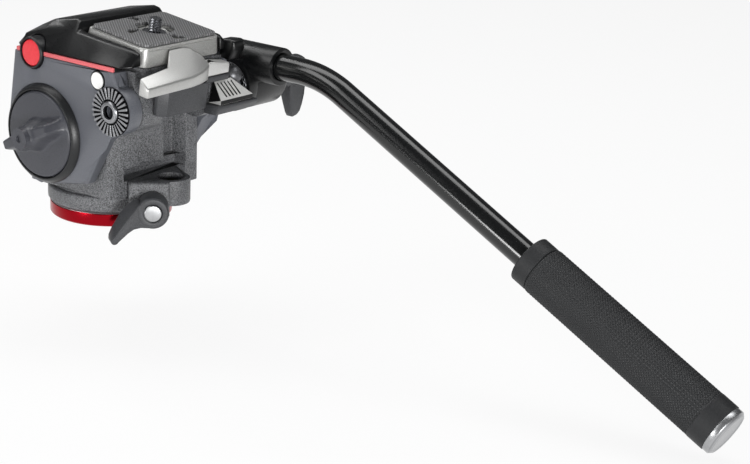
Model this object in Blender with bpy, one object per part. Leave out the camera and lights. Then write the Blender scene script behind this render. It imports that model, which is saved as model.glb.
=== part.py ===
# Two-way fluid video head with a bent pan bar.
# The base face is at z = 0 and the pan axis is the Z axis. The tilt axis runs along X.
# The user stands on the -Y side, the tilt lock is on the -X side and the pan bar on the +X side.
import math

import bmesh
import bpy
from mathutils import Matrix, Vector

# Clearances and mesh quality
GAP = 0.0003
OVERRUN = 0.002
MERGE_DISTANCE = 0.000002
WELD_DISTANCE = 0.00001
ROUND_SIDES = 40
SMALL_SIDES = 20
TINY_SIDES = 12
CORNER_STEPS = 4
HEX_SIDES = 6
SHARP_ANGLE = math.radians(35)

# Base
BASE_RADIUS = 0.030
RING_WIDTH = 0.0058
RING_HEIGHT = 0.0068
EDGE_BREAK = 0.0006
WASHER_THICKNESS = 0.0009
WASHER_WIDTH = 0.0030
HUB_RADIUS = 0.0155
HUB_TOP = 0.0220
BUSH_RADIUS = 0.0070
BUSH_LENGTH = 0.0088
BUSH_RECESS = 0.0005
THREAD_RADIUS = 0.00476
THREAD_PITCH = 0.00159
THREAD_DEPTH = 0.0006
PAN_BOLT_RADIUS = 0.0040
PAN_BOLT_HEAD_RADIUS = 0.0062
PAN_BOLT_HEAD_HEIGHT = 0.0032
HEX_KEY_RADIUS = 0.0028
PAN_NUT_RADIUS = 0.0066
PAN_NUT_HEIGHT = 0.0042

# Pan body
FLANGE_RADIUS = 0.0310
FLANGE_HEIGHT = 0.0079
FLANGE_BREAK = 0.0009
NECK_RADIUS = 0.0285
NECK_HEIGHT = 0.0013
HUB_FLOOR = 0.0022
TOWER_REAR = -0.0310
TILT_AXIS_Z = 0.0446
TOWER_HALF_WIDTH = 0.0290
TOWER_RADIUS = 0.0372
TOWER_FRONT = 0.0300
TOWER_CHAMFER_WIDTH = 0.0068
TOWER_CHAMFER_DEPTH = 0.0045
CHANNEL_LEFT = 0.0050
CHANNEL_RIGHT = 0.0206
CHANNEL_DEPTH = 0.0075
CHANNEL_DRAFT = 0.0025
UNDERCUT_TOP = 0.0308
UNDERCUT_DEPTH = 0.0080
TILT_BORE_RADIUS = 0.0148
NUT_POCKET_RADIUS = 0.0075

# Pan lock, in its own frame: X away from the level, Y out towards the knob
LOCK_ANGLE = math.radians(135)
LOCK_HEIGHT = 0.0137
LOCK_WALL = 0.0395
LOCK_HOUSING_LEFT = 0.0115
LOCK_HOUSING_RIGHT = 0.0080
LOCK_HOUSING_BOTTOM = 0.0080
LEDGE_TOP = 0.0250
LEDGE_BREAK = 0.0012
COTTER_RADIUS = 0.0050
COTTER_BITE = 0.0005
COTTER_BACK = 0.0090
COTTER_FRONT = 0.0110
LOCK_SCREW_RADIUS = 0.0028
LOCK_KNOB_START = 0.0410
LOCK_KNOB_LENGTH = 0.0115
LOCK_KNOB_RADIUS = 0.0074
LOCK_BLADE_REACH = 0.0225
LOCK_BLADE_DROP = 0.0150
LOCK_BLADE_TIP_WIDTH = 0.0062
LOCK_BLADE_THICKNESS = 0.0075
LOCK_BLADE_TIP_THICKNESS = 0.0055
LOCK_CAP_RADIUS = 0.0041
LOCK_CAP_THICKNESS = 0.0012
# Along the blade, then how far its width and its thickness are still those of its root
LOCK_BLADE_SHARES = ((0, 1, 1), (0.45, 0.62, 0.85), (1, 0, 0))

# Level
LEVEL_X = 0.0010
LEVEL_Y = -0.0395
LEVEL_LOBE_RADIUS = 0.0096
LEVEL_LOBE_BOTTOM = 0.0124
LEVEL_RECESS_RADIUS = 0.0065
LEVEL_RECESS_DEPTH = 0.0075
LEVEL_CUP_WALL = 0.0008
LEVEL_CUP_HEIGHT = 0.0045
LEVEL_CUP_FLOOR = 0.0010
LEVEL_DOME_RISE = 0.0006

# Tilt drive inside the tower
SHAFT_RADIUS = 0.0060
BUSH_FLANGE_LENGTH = 0.0080
CARTRIDGE_LENGTH = 0.0240
SPRING_WIRE_RADIUS = 0.0011
SPRING_RADIUS = 0.0102
SPRING_TURNS = 4
SPRING_STEPS = 14

# Cheeks of the tilt platform
CHEEK_INNER = 0.0296
CHEEK_FACE = 0.0375
CHEEK_RADIUS = 0.0257
CHEEK_TOP_BELOW_CROWN = 0.0001
CHEEK_BEVEL = 0.0034
CHEEK_FRONT_Y = 0.0284
CHEEK_HEEL_BEHIND_AXIS = 0.0258
CHEEK_HEEL_BELOW_AXIS = 0.0206
CHEEK_WAIST_Y = -0.0330
CHEEK_WAIST_BELOW_CROWN = 0.0348
CHEEK_REAR_Y = -0.0405
ARC_STEPS = 12

# Rosettes, on one axis across the rear of the platform
ROSETTE_Y = -0.0397
ROSETTE_BELOW_CROWN = 0.0181
ROSETTE_RADIUS = 0.0115
ROSETTE_SEAT = 0.0382
ROSETTE_INNER_RADIUS = 0.0060
ROSETTE_THICKNESS = 0.0006
TOOTH_HEIGHT = 0.0010
TOOTH_COUNT = 28
TOOTH_LAND_SHARE = 0.5
ROSETTE_HUB_RADIUS = 0.0053
ROSETTE_HUB_FACE = 0.0408
ROSETTE_BORE_RADIUS = 0.0033
BARREL_END = 0.0155

# Tilt lock knob
COLLAR_RADIUS = 0.0243
COLLAR_TOP_RADIUS = 0.0222
COLLAR_HEIGHT = 0.0034
KNOB_RADIUS = 0.0207
KNOB_RIM = 0.0034
KNOB_CROWN = 0.0012
KNOB_DOME_SHARE = 0.5
WING_HUB_FACE = 0.0165
WING_HUB_RADIUS = 0.0052
WING_REACH = 0.0182
WING_TIP_HEIGHT = 0.0130
WING_CREST_HEIGHT = 0.0155
WING_HALF_WIDTH = 0.0060
WING_TIP_HALF_WIDTH = 0.0022
WING_TOP_HALF_WIDTH = 0.0034
WING_ANGLE = math.radians(-24.5)
WING_STEPS = 8
KNOB_SCREW_RADIUS = 0.0016
KNOB_SCREW_LENGTH = 0.0060
RIGHT_COVER_RADIUS = 0.0180
RIGHT_COVER_THICKNESS = 0.0020

# Trim on the left and right
STRIPE_HEIGHT = 0.0019
STRIPE_DEPTH = 0.0060
STRIPE_PROUD = 0.0003
STRIPE_REAR_Y = -0.0399
BADGE_Y = 0.0142
BADGE_ABOVE_CROWN = 0.0006
BADGE_RADIUS = 0.0064
BADGE_COLLAR_RADIUS = 0.0077
BADGE_COLLAR_PROUD = 0.0015
BADGE_SINK = 0.0004
BADGE_THICKNESS = 0.0014
LABEL_Y = -0.0297
LABEL_BELOW_CROWN = 0.0053
LABEL_RADIUS = 0.0044
LABEL_THICKNESS = 0.0010
LABEL_PROUD = 0.0003

# Bonnet
BONNET_REAR_Y = -0.0470
BONNET_ABOVE_CROWN = 0.0182
BONNET_POCKET_WALL = 0.0045
BONNET_CROWN = 0.0060

# Deck: everything that is tipped up at the front with the plate, from the pad's top face
DECK_Y = -0.0295
DECK_ABOVE_CROWN = 0.0142
DECK_PITCH = math.radians(7.2)
PLATE_HALF_WIDTH = 0.0260
PLATE_REAR = -0.0200
PLATE_FRONT = 0.0205
PLATE_HEIGHT = 0.0106
PLATE_TAPER = 0.0008
PLATE_CORNER = 0.0035
PAD_HALF_WIDTH = 0.0240
PAD_HALF_DEPTH = 0.01815
PAD_THICKNESS = 0.0012
PAD_CORNER = 0.0030
PAD_HOLE_RADIUS = 0.0085
SADDLE_THICKNESS = 0.0033
WEB_LEFT = 0.0170
WEB_FRONT_Y = -0.0340
WEB_REAR_Y = -0.0455
CAMERA_THREAD_RADIUS = 0.003175
CAMERA_THREAD_PITCH = 0.00127
CAMERA_THREAD_DEPTH = 0.0005
CAMERA_SCREW_RISE = 0.0050
CAMERA_COLLAR_RADIUS = 0.0056
CAMERA_HEAD_RADIUS = 0.0088
CAMERA_HEAD_THICKNESS = 0.0022
PLATE_WEB = 0.0022
PLATE_POCKET_RADIUS = 0.0115
D_RING_WIRE_RADIUS = 0.0009
D_RING_RADIUS = 0.0078

# Release lever, its housing and the safety catch, in the deck's frame
LEVER_PIN_X = 0.0
LEVER_PIN_Y = -0.0270
LEVER_PIN_RADIUS = 0.0025
LEVER_PIN_TOP = -0.0125
LEVER_LEFT = -0.0394
LEVER_RIGHT = 0.0062
LEVER_REAR = -0.0365
LEVER_FRONT = -0.0204
LEVER_TOP = -0.0030
LEVER_SLOPE_SHARE = 0.62
LEVER_BOTTOM = -0.0175
HOUSING_LEFT = -0.0240
HOUSING_RIGHT = 0.0090
HOUSING_REAR = -0.0322
HOUSING_BOTTOM = -0.0310
HOUSING_FRONT = -0.0130
HOUSING_NECK_LEFT = -0.0148
HOUSING_NECK_STEP = -0.0263
LEVER_SPRING_RADIUS = 0.0040
LEVER_SPRING_WIRE_RADIUS = 0.0005
LEVER_SPRING_TURNS = 3
LEVER_SPRING_PITCH = 0.0016
LEVER_SPRING_DEPTH = 0.0070
CATCH_LEFT = 0.0093
CATCH_RIGHT = 0.0245
CATCH_FRONT = -0.0222
CATCH_REAR = -0.0280
CATCH_TOP = -0.0110
CATCH_BOTTOM = -0.0176
SHELF_THICKNESS = 0.0029

# Drag selector at the right of the rear
SELECTOR_FRONT_Y = -0.0522
SELECTOR_REAR_Y = -0.0605
SELECTOR_TOP_RISE = 0.0078
SELECTOR_NOSE_RISE = 0.0003
SELECTOR_SEAT_DROP = 0.0019
SELECTOR_LEFT = 0.0130
SELECTOR_RIGHT = 0.0355
SELECTOR_TOP_LEFT = 0.0170
SELECTOR_TOP_RIGHT = 0.0290
SELECTOR_BASE_DROP = 0.0067
SELECTOR_BASE_MARGIN = 0.0025
RIB_COUNT = 5
RIB_DEPTH = 0.0007
RIB_GROOVE_SHARE = 0.35
BOSS_X = 0.0345
BOSS_ANGLE = math.radians(138)
BOSS_RADIUS = 0.0047
BOSS_HEIGHT = 0.0040

# Pan bar clamp
CLAMP_BARREL_RADIUS = 0.0132
CLAMP_END = 0.0730
CLAMP_ROUND = 0.0040
SLEEVE_X = 0.0510
SLEEVE_RISE = 0.0118
SLEEVE_RADIUS = 0.0093
SLEEVE_REAR_Y = -0.0655
SLEEVE_FRONT_Y = -0.0360
CLAMP_BOLT_RADIUS = 0.0030
CLAMP_BOLT_START = 0.0280
CLAMP_KNOB_LENGTH = 0.0230
CLAMP_KNOB_RADIUS = 0.0078
CLAMP_BLADE_DROP = 0.0250
CLAMP_BLADE_LENGTH = 0.0120
CLAMP_BLADE_TIP_LENGTH = 0.0090
CLAMP_BLADE_HALF_DEPTH = 0.0068
CLAMP_BLADE_TIP_HALF_DEPTH = 0.0036

# Pan bar and grip
BAR_RADIUS = 0.00642
BAR_WALL = 0.0014
BAR_FRONT_Y = -0.0400
BAR_BEND_ANGLE = math.radians(27.07)
BAR_BEND_RADIUS = 0.0600
BAR_BEND_Y = -0.0915
BAR_BEND_STEPS = 8
BAR_SIDES = 20
GRIP_START = 0.1372
GRIP_LENGTH = 0.1183
GRIP_RADIUS = 0.01194
GRIP_COLLAR_LENGTH = 0.0080
GRIP_COLLAR_RADIUS = 0.0116
GRIP_GROOVE = 0.0006
GRIP_BAND_LENGTH = 0.0090
GRIP_CAP_LENGTH = 0.0040
GRIP_CAP_CHAMFER = 0.0014
GRIP_PLUG_LENGTH = 0.0080

# Heights and places that follow from the sizes above
LOCK_OFFSET = HUB_RADIUS + COTTER_RADIUS - COTTER_BITE
TILT_AXIS_Y = TOWER_REAR + TOWER_RADIUS
TOWER_CROWN_Z = TILT_AXIS_Z + TOWER_RADIUS
CHEEK_TOP = TOWER_CROWN_Z - CHEEK_TOP_BELOW_CROWN
CHEEK_HEEL_Y = TILT_AXIS_Y - CHEEK_HEEL_BEHIND_AXIS
CHEEK_HEEL_Z = TILT_AXIS_Z - CHEEK_HEEL_BELOW_AXIS
CHEEK_WAIST_Z = TOWER_CROWN_Z - CHEEK_WAIST_BELOW_CROWN
ROSETTE_Z = TOWER_CROWN_Z - ROSETTE_BELOW_CROWN
BADGE_Z = TOWER_CROWN_Z + BADGE_ABOVE_CROWN
LABEL_Z = TOWER_CROWN_Z - LABEL_BELOW_CROWN
BONNET_TOP = TOWER_CROWN_Z + BONNET_ABOVE_CROWN
DECK_Z = TOWER_CROWN_Z + DECK_ABOVE_CROWN
SELECTOR_TOP_Z = ROSETTE_Z + SELECTOR_TOP_RISE
SELECTOR_NOSE_Z = ROSETTE_Z + SELECTOR_NOSE_RISE
SELECTOR_SEAT_Z = ROSETTE_Z - SELECTOR_SEAT_DROP
SELECTOR_BASE_BOTTOM = ROSETTE_Z - SELECTOR_BASE_DROP
SLEEVE_Z = ROSETTE_Z + SLEEVE_RISE
FLANGE_BOTTOM = RING_HEIGHT + GAP
FLANGE_TOP = FLANGE_BOTTOM + FLANGE_HEIGHT
TOWER_BOTTOM = FLANGE_TOP + NECK_HEIGHT
HUB_DISC_TOP = FLANGE_BOTTOM - WASHER_THICKNESS - GAP - GAP
BUSH_TOP = BUSH_RECESS + BUSH_LENGTH
BOLT_HEAD_TOP = BUSH_TOP + GAP + PAN_BOLT_HEAD_HEIGHT
HUB_FLOOR_BOTTOM = HUB_TOP + GAP
HUB_FLOOR_TOP = HUB_FLOOR_BOTTOM + HUB_FLOOR
NUT_TOP = HUB_FLOOR_TOP + GAP + PAN_NUT_HEIGHT
LEVEL_FLOOR = LEDGE_TOP - LEVEL_RECESS_DEPTH
STRIPE_BOTTOM = CHEEK_TOP + GAP
BONNET_BOTTOM = STRIPE_BOTTOM + STRIPE_HEIGHT + GAP
BONNET_HEIGHT = BONNET_TOP - BONNET_BOTTOM
BONNET_LENGTH = CHEEK_FRONT_Y - BONNET_REAR_Y
BADGE_COLLAR_DEPTH = CHEEK_FACE - CHEEK_INNER - GAP
SADDLE_TOP = -PLATE_HEIGHT - GAP
SADDLE_BOTTOM = SADDLE_TOP - SADDLE_THICKNESS
PLATE_TOP = -PAD_THICKNESS - GAP
HOUSING_TOP = LEVER_BOTTOM - GAP - GAP
SHELF_TOP = CATCH_BOTTOM - GAP

# The bonnet's cross sections from rear to front, each as shares: place along the bonnet, then
# half widths of the cheek face at the foot, shoulder and top, then heights of shoulder and top
BONNET_STATION_SHARES = (
    (0.000, 0.880, 0.760, 0.640, 0.360, 0.400),
    (0.050, 0.990, 0.790, 0.660, 0.460, 0.500),
    (0.330, 1.000, 0.800, 0.700, 0.580, 0.620),
    (0.515, 1.000, 0.800, 0.715, 0.660, 0.700),
    (0.530, 1.000, 0.800, 0.700, 0.670, 0.960),
    (0.565, 1.000, 0.800, 0.690, 0.672, 1.000),
    (0.780, 1.000, 0.800, 0.660, 0.630, 0.830),
    (0.940, 0.990, 0.870, 0.580, 0.360, 0.520),
    (1.000, 0.900, 0.810, 0.520, 0.150, 0.240),
)

# The release lever from above, as shares of its length from the left and of its depth from the rear
LEVER_OUTLINE_SHARES = (
    (0.000, 0.366), (0.000, 0.000), (0.684, 0.080), (0.851, 0.168), (1.000, 0.323),
    (0.996, 0.590), (0.897, 0.907), (0.765, 1.000), (0.623, 1.000), (0.445, 0.516),
)

TILT_AXIS = Vector((0, TILT_AXIS_Y, TILT_AXIS_Z))
ROSETTE_AXIS = Vector((0, ROSETTE_Y, ROSETTE_Z))
ALONG_X = Vector((1, 0, 0))
ALONG_Y = Vector((0, 1, 0))
ALONG_Z = Vector((0, 0, 1))

# Finish of each piece: linear colour, roughness, metallic
FINISHES = {
    "red_anodised": ((0.42, 0.012, 0.018), 0.30, 0.7),
    "machined_aluminium": ((0.62, 0.62, 0.63), 0.35, 1.0),
    "brass": ((0.70, 0.50, 0.22), 0.35, 1.0),
    "steel": ((0.55, 0.55, 0.56), 0.30, 1.0),
    "spring_steel": ((0.42, 0.42, 0.44), 0.35, 1.0),
    "black_casting": ((0.030, 0.031, 0.034), 0.55, 0.3),
    "satin_cheek": ((0.045, 0.047, 0.052), 0.42, 0.2),
    "black_polymer": ((0.018, 0.019, 0.021), 0.45, 0.0),
    "white_polymer": ((0.70, 0.70, 0.68), 0.40, 0.0),
    "salmon_trim": ((0.60, 0.10, 0.09), 0.40, 0.0),
    "red_enamel": ((0.55, 0.020, 0.025), 0.25, 0.0),
    "silver_casting": ((0.58, 0.58, 0.56), 0.38, 0.6),
    "grey_rubber": ((0.16, 0.16, 0.16), 0.75, 0.0),
    "level_fluid": ((0.45, 0.55, 0.10), 0.10, 0.0),
    "black_tube": ((0.020, 0.020, 0.022), 0.25, 0.5),
    "grip_rubber": ((0.028, 0.028, 0.029), 0.70, 0.0),
    "cutter": ((0.50, 0.50, 0.50), 0.50, 0.0),
}


def clear_scene():
    for item in list(bpy.data.objects):
        bpy.data.objects.remove(item, do_unlink=True)


def make_materials():
    for name, (colour, roughness, metallic) in FINISHES.items():
        material = bpy.data.materials.new(name)
        material.use_nodes = True
        shader = material.node_tree.nodes["Principled BSDF"]
        shader.inputs["Base Color"].default_value = (*colour, 1)
        shader.inputs["Roughness"].default_value = roughness
        shader.inputs["Metallic"].default_value = metallic
        material.diffuse_color = (*colour, 1)


# Frames: each moving piece hangs from an empty on its joint's axis

FRAMES = {}


def frame(name, location, turn=None, parent=None):
    empty = bpy.data.objects.new(name, None)
    bpy.context.scene.collection.objects.link(empty)
    place = Matrix.Translation(location)
    if turn is not None:
        place = place @ turn
    FRAMES[name] = place
    if parent:
        empty.parent = bpy.data.objects[parent]
        empty.matrix_local = FRAMES[parent].inverted() @ place
    else:
        empty.matrix_local = place


def hang(piece, frame_name, local=False):
    """Parents a piece to a frame; its mesh is in the frame's own axes when local, else in the head's."""
    if not local:
        piece.data.transform(FRAMES[frame_name].inverted())
    piece.parent = bpy.data.objects[frame_name]
    return piece


# Shapes

def make(name, shape, finish):
    bmesh.ops.remove_doubles(shape, verts=shape.verts, dist=MERGE_DISTANCE)
    bmesh.ops.recalc_face_normals(shape, faces=shape.faces)
    mesh = bpy.data.meshes.new(name)
    shape.to_mesh(mesh)
    shape.free()
    mesh.shade_smooth()
    mesh.set_sharp_from_angle(angle=SHARP_ANGLE)
    mesh.materials.append(bpy.data.materials[finish])
    piece = bpy.data.objects.new(name, mesh)
    bpy.context.scene.collection.objects.link(piece)
    return piece


def tool(name, shape):
    """A shape that only cuts or joins another piece."""
    piece = make(name, shape, "cutter")
    piece.hide_render = True
    piece.display_type = "WIRE"
    return piece


def combine(piece, other, operation):
    step = piece.modifiers.new(other.name, "BOOLEAN")
    step.operation = operation
    step.object = other
    step.solver = "EXACT"
    weld = piece.modifiers.new(other.name + "_weld", "WELD")
    weld.merge_threshold = WELD_DISTANCE


def cut(piece, frame_name, name, shape, local=False):
    combine(piece, hang(tool(name, shape), frame_name, local), "DIFFERENCE")


def add(piece, frame_name, name, shape, local=False):
    combine(piece, hang(tool(name, shape), frame_name, local), "UNION")


def keep_inside(piece, frame_name, name, shape, local=False):
    combine(piece, hang(tool(name, shape), frame_name, local), "INTERSECT")


def turned(outline, start=(0, 0, 0), direction=(0, 0, 1), sides=ROUND_SIDES):
    """Spins an outline of (radius, height) points round an axis."""
    shape = bmesh.new()
    points = [shape.verts.new((radius, 0, height)) for radius, height in outline]
    pairs = list(zip(points, points[1:]))
    if outline[0][0] or outline[-1][0]:
        pairs.append((points[-1], points[0]))
    edges = [shape.edges.new(pair) for pair in pairs]
    bmesh.ops.spin(shape, geom=points + edges, cent=(0, 0, 0), axis=(0, 0, 1),
                   angle=math.tau, steps=sides, use_merge=True)
    bmesh.ops.remove_doubles(shape, verts=shape.verts, dist=MERGE_DISTANCE)
    turn = Vector(direction).to_track_quat("Z", "Y").to_matrix().to_4x4()
    shape.transform(Matrix.Translation(start) @ turn)
    return shape


def rod(radius, start, direction, length, sides=ROUND_SIDES):
    return turned([(0, 0), (radius, 0), (radius, length), (0, length)], start, direction, sides)


def tube(outer, inner, start, direction, length, sides=ROUND_SIDES):
    outline = [(inner, 0), (outer, 0), (outer, length), (inner, length)]
    return turned(outline, start, direction, sides)


def corner_point(across, u, v, w):
    """A point from two coordinates in the plane square to one axis, and one along that axis."""
    return {"x": (w, u, v), "y": (u, w, v), "z": (u, v, w)}[across]


def prism(outline, across, low, high, top_of=None):
    """An outline drawn square to one axis and thickened along it; top_of gives a sloping end."""
    shape = bmesh.new()
    ends = []
    for level in (low, high):
        sloped = top_of if level == high else None
        ends.append([shape.verts.new(corner_point(across, u, v, sloped(u, v) if sloped else level))
                     for u, v in outline])
    join_rings(shape, ends)
    return shape


def join_rings(shape, rings):
    """Faces between rings of equal length, with the first and last ring capped."""
    for ring, following in zip(rings, rings[1:]):
        for place in range(len(ring)):
            after = (place + 1) % len(ring)
            shape.faces.new((ring[place], ring[after], following[after], following[place]))
    shape.faces.new(rings[0])
    shape.faces.new(rings[-1])


def loft(sections):
    shape = bmesh.new()
    join_rings(shape, [[shape.verts.new(point) for point in section] for section in sections])
    return shape


def block(low, high):
    (x_low, y_low, z_low), (x_high, y_high, z_high) = low, high
    outline = [(x_low, y_low), (x_high, y_low), (x_high, y_high), (x_low, y_high)]
    return prism(outline, "z", z_low, z_high)


def arc(centre, radius, start, end, steps=ARC_STEPS):
    """Points of an arc, with its angles in radians."""
    middle_u, middle_v = centre
    angles = [start + (end - start) * step / steps for step in range(steps + 1)]
    return [(middle_u + radius * math.cos(angle), middle_v + radius * math.sin(angle)) for angle in angles]


def rounded_rectangle(low, high, radius):
    quarter = math.pi / 2
    corners = ((high[0] - radius, high[1] - radius), (low[0] + radius, high[1] - radius),
               (low[0] + radius, low[1] + radius), (high[0] - radius, low[1] + radius))
    outline = []
    for number, centre in enumerate(corners):
        outline += arc(centre, radius, number * quarter, (number + 1) * quarter, CORNER_STEPS)
    return outline


def soften(shape, width, chosen, segments=2):
    """Bevels the edges that the test picks."""
    edges = [edge for edge in shape.edges if chosen(edge)]
    bmesh.ops.bevel(shape, geom=edges, offset=width, offset_type="OFFSET", segments=segments,
                    profile=0.5, affect="EDGES", clamp_overlap=True)
    return shape


def lies_at(value, place, axis):
    """A test for edges that lie in a plane square to one axis."""
    return lambda edge: all(abs(end.co[axis] - value) < place for end in edge.verts)


def wound(radius, wire, turns, pitch, steps, start, direction, sides=6):
    """A coil as one unbroken tube."""
    turn = Vector(direction).to_track_quat("Z", "Y").to_matrix().to_4x4()
    place = Matrix.Translation(start) @ turn
    rings = []
    shape = bmesh.new()
    for step in range(turns * steps + 1):
        angle = math.tau * step / steps
        outward = Vector((math.cos(angle), math.sin(angle), 0))
        centre = outward * radius + ALONG_Z * (pitch * angle / math.tau)
        ring = []
        for side in range(sides):
            around = math.tau * side / sides
            offset = outward * (wire * math.cos(around)) + ALONG_Z * (wire * math.sin(around))
            ring.append(shape.verts.new(place @ (centre + offset)))
        rings.append(ring)
    join_rings(shape, rings)
    return shape


def threaded_outline(core, depth, pitch, low, high):
    """Radius and height points down a threaded surface, from high to low."""
    turns = int((high - low) / pitch)
    step = (high - low) / turns
    points = []
    for number in range(turns):
        top = high - number * step
        points += [(core, top), (core + depth, top - step / 2)]
    return points + [(core, low)]


# Base: fixed to the tripod

def make_base():
    ring_inner = BASE_RADIUS - RING_WIDTH
    ring = [(ring_inner, 0), (BASE_RADIUS - EDGE_BREAK, 0), (BASE_RADIUS, EDGE_BREAK),
            (BASE_RADIUS, RING_HEIGHT - EDGE_BREAK), (BASE_RADIUS - EDGE_BREAK, RING_HEIGHT),
            (ring_inner, RING_HEIGHT)]
    hang(make("base_ring", turned(ring), "red_anodised"), "base_frame")

    bush_bore = BUSH_RADIUS + GAP
    bolt_bore = PAN_BOLT_RADIUS + GAP
    disc_radius = ring_inner - GAP
    head_bore = max(bush_bore, PAN_BOLT_HEAD_RADIUS + GAP)
    head_seat = BOLT_HEAD_TOP + GAP
    hub = [(bush_bore, 0), (disc_radius, 0), (disc_radius, HUB_DISC_TOP), (HUB_RADIUS, HUB_DISC_TOP),
           (HUB_RADIUS, HUB_TOP), (bolt_bore, HUB_TOP), (bolt_bore, head_seat), (head_bore, head_seat),
           (head_bore, BUSH_TOP), (bush_bore, BUSH_TOP)]
    hub = [point for number, point in enumerate(hub) if point != hub[number - 1]]
    hang(make("base_hub", turned(hub), "machined_aluminium"), "base_frame")

    thread = threaded_outline(THREAD_RADIUS, THREAD_DEPTH, THREAD_PITCH, BUSH_RECESS, BUSH_TOP)
    bush = thread + [(BUSH_RADIUS, BUSH_RECESS), (BUSH_RADIUS, BUSH_TOP)]
    hang(make("thread_bush", turned(bush, sides=SMALL_SIDES), "brass"), "base_frame")

    head_bottom = BUSH_TOP + GAP
    key_depth = head_bottom + PAN_BOLT_HEAD_HEIGHT / 2
    bolt = [(0, key_depth), (HEX_KEY_RADIUS, key_depth),
            (HEX_KEY_RADIUS, head_bottom), (PAN_BOLT_HEAD_RADIUS, head_bottom),
            (PAN_BOLT_HEAD_RADIUS, BOLT_HEAD_TOP), (PAN_BOLT_RADIUS, BOLT_HEAD_TOP),
            (PAN_BOLT_RADIUS, NUT_TOP), (0, NUT_TOP)]
    hang(make("pan_bolt", turned(bolt, sides=SMALL_SIDES), "steel"), "base_frame")

    nut_shape = rod(PAN_NUT_RADIUS, (0, 0, HUB_FLOOR_TOP + GAP), ALONG_Z, PAN_NUT_HEIGHT, HEX_SIDES)
    nut = hang(make("pan_nut", nut_shape, "steel"), "base_frame")
    bore_start = (0, 0, HUB_FLOOR_TOP - OVERRUN)
    bore_length = PAN_NUT_HEIGHT + OVERRUN + OVERRUN + GAP
    cut(nut, "base_frame", "pan_nut_bore", rod(bolt_bore, bore_start, ALONG_Z, bore_length, SMALL_SIDES))

    washer_start = (0, 0, HUB_DISC_TOP + GAP)
    washer_bore = HUB_RADIUS + GAP
    washer = tube(washer_bore + WASHER_WIDTH, washer_bore, washer_start, ALONG_Z, WASHER_THICKNESS)
    hang(make("drag_washer", washer, "brass"), "base_frame")


# Pan body: turns on the base

def tower_shape():
    rear = TOWER_REAR - OVERRUN
    front = TOWER_FRONT
    side = TOWER_HALF_WIDTH
    chamfer_y = TOWER_REAR + TOWER_CHAMFER_DEPTH
    slope = TOWER_CHAMFER_WIDTH / TOWER_CHAMFER_DEPTH
    chamfer_x = side - TOWER_CHAMFER_WIDTH - OVERRUN * slope
    floor = TOWER_REAR + CHANNEL_DEPTH
    front_x = side - TOWER_CHAMFER_DEPTH
    outline = [(-side, chamfer_y), (-chamfer_x, rear), (CHANNEL_LEFT, rear), (CHANNEL_LEFT, TOWER_REAR),
               (CHANNEL_LEFT + CHANNEL_DRAFT, floor), (CHANNEL_RIGHT - CHANNEL_DRAFT, floor),
               (CHANNEL_RIGHT, TOWER_REAR), (CHANNEL_RIGHT, rear), (side - EDGE_BREAK, rear),
               (side - EDGE_BREAK, TOWER_REAR), (side, TOWER_REAR + EDGE_BREAK),
               (side, front - TOWER_CHAMFER_DEPTH), (front_x, front), (-front_x, front),
               (-side, front - TOWER_CHAMFER_DEPTH)]
    return prism(outline, "z", TOWER_BOTTOM - GAP, TILT_AXIS_Z + TOWER_RADIUS + OVERRUN)


def tower_side():
    front_angle = math.acos((TOWER_FRONT - TILT_AXIS_Y) / TOWER_RADIUS)
    crown = arc((TILT_AXIS_Y, TILT_AXIS_Z), TOWER_RADIUS, math.pi, front_angle, ARC_STEPS + ARC_STEPS)
    low = TOWER_BOTTOM - OVERRUN
    front = TOWER_FRONT + OVERRUN
    crown[-1] = (front, crown[-1][1])
    outline = [(TOWER_REAR, low)] + crown + [(front, low)]
    reach = TOWER_HALF_WIDTH + OVERRUN
    return prism(outline, "x", -reach, reach)


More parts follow.
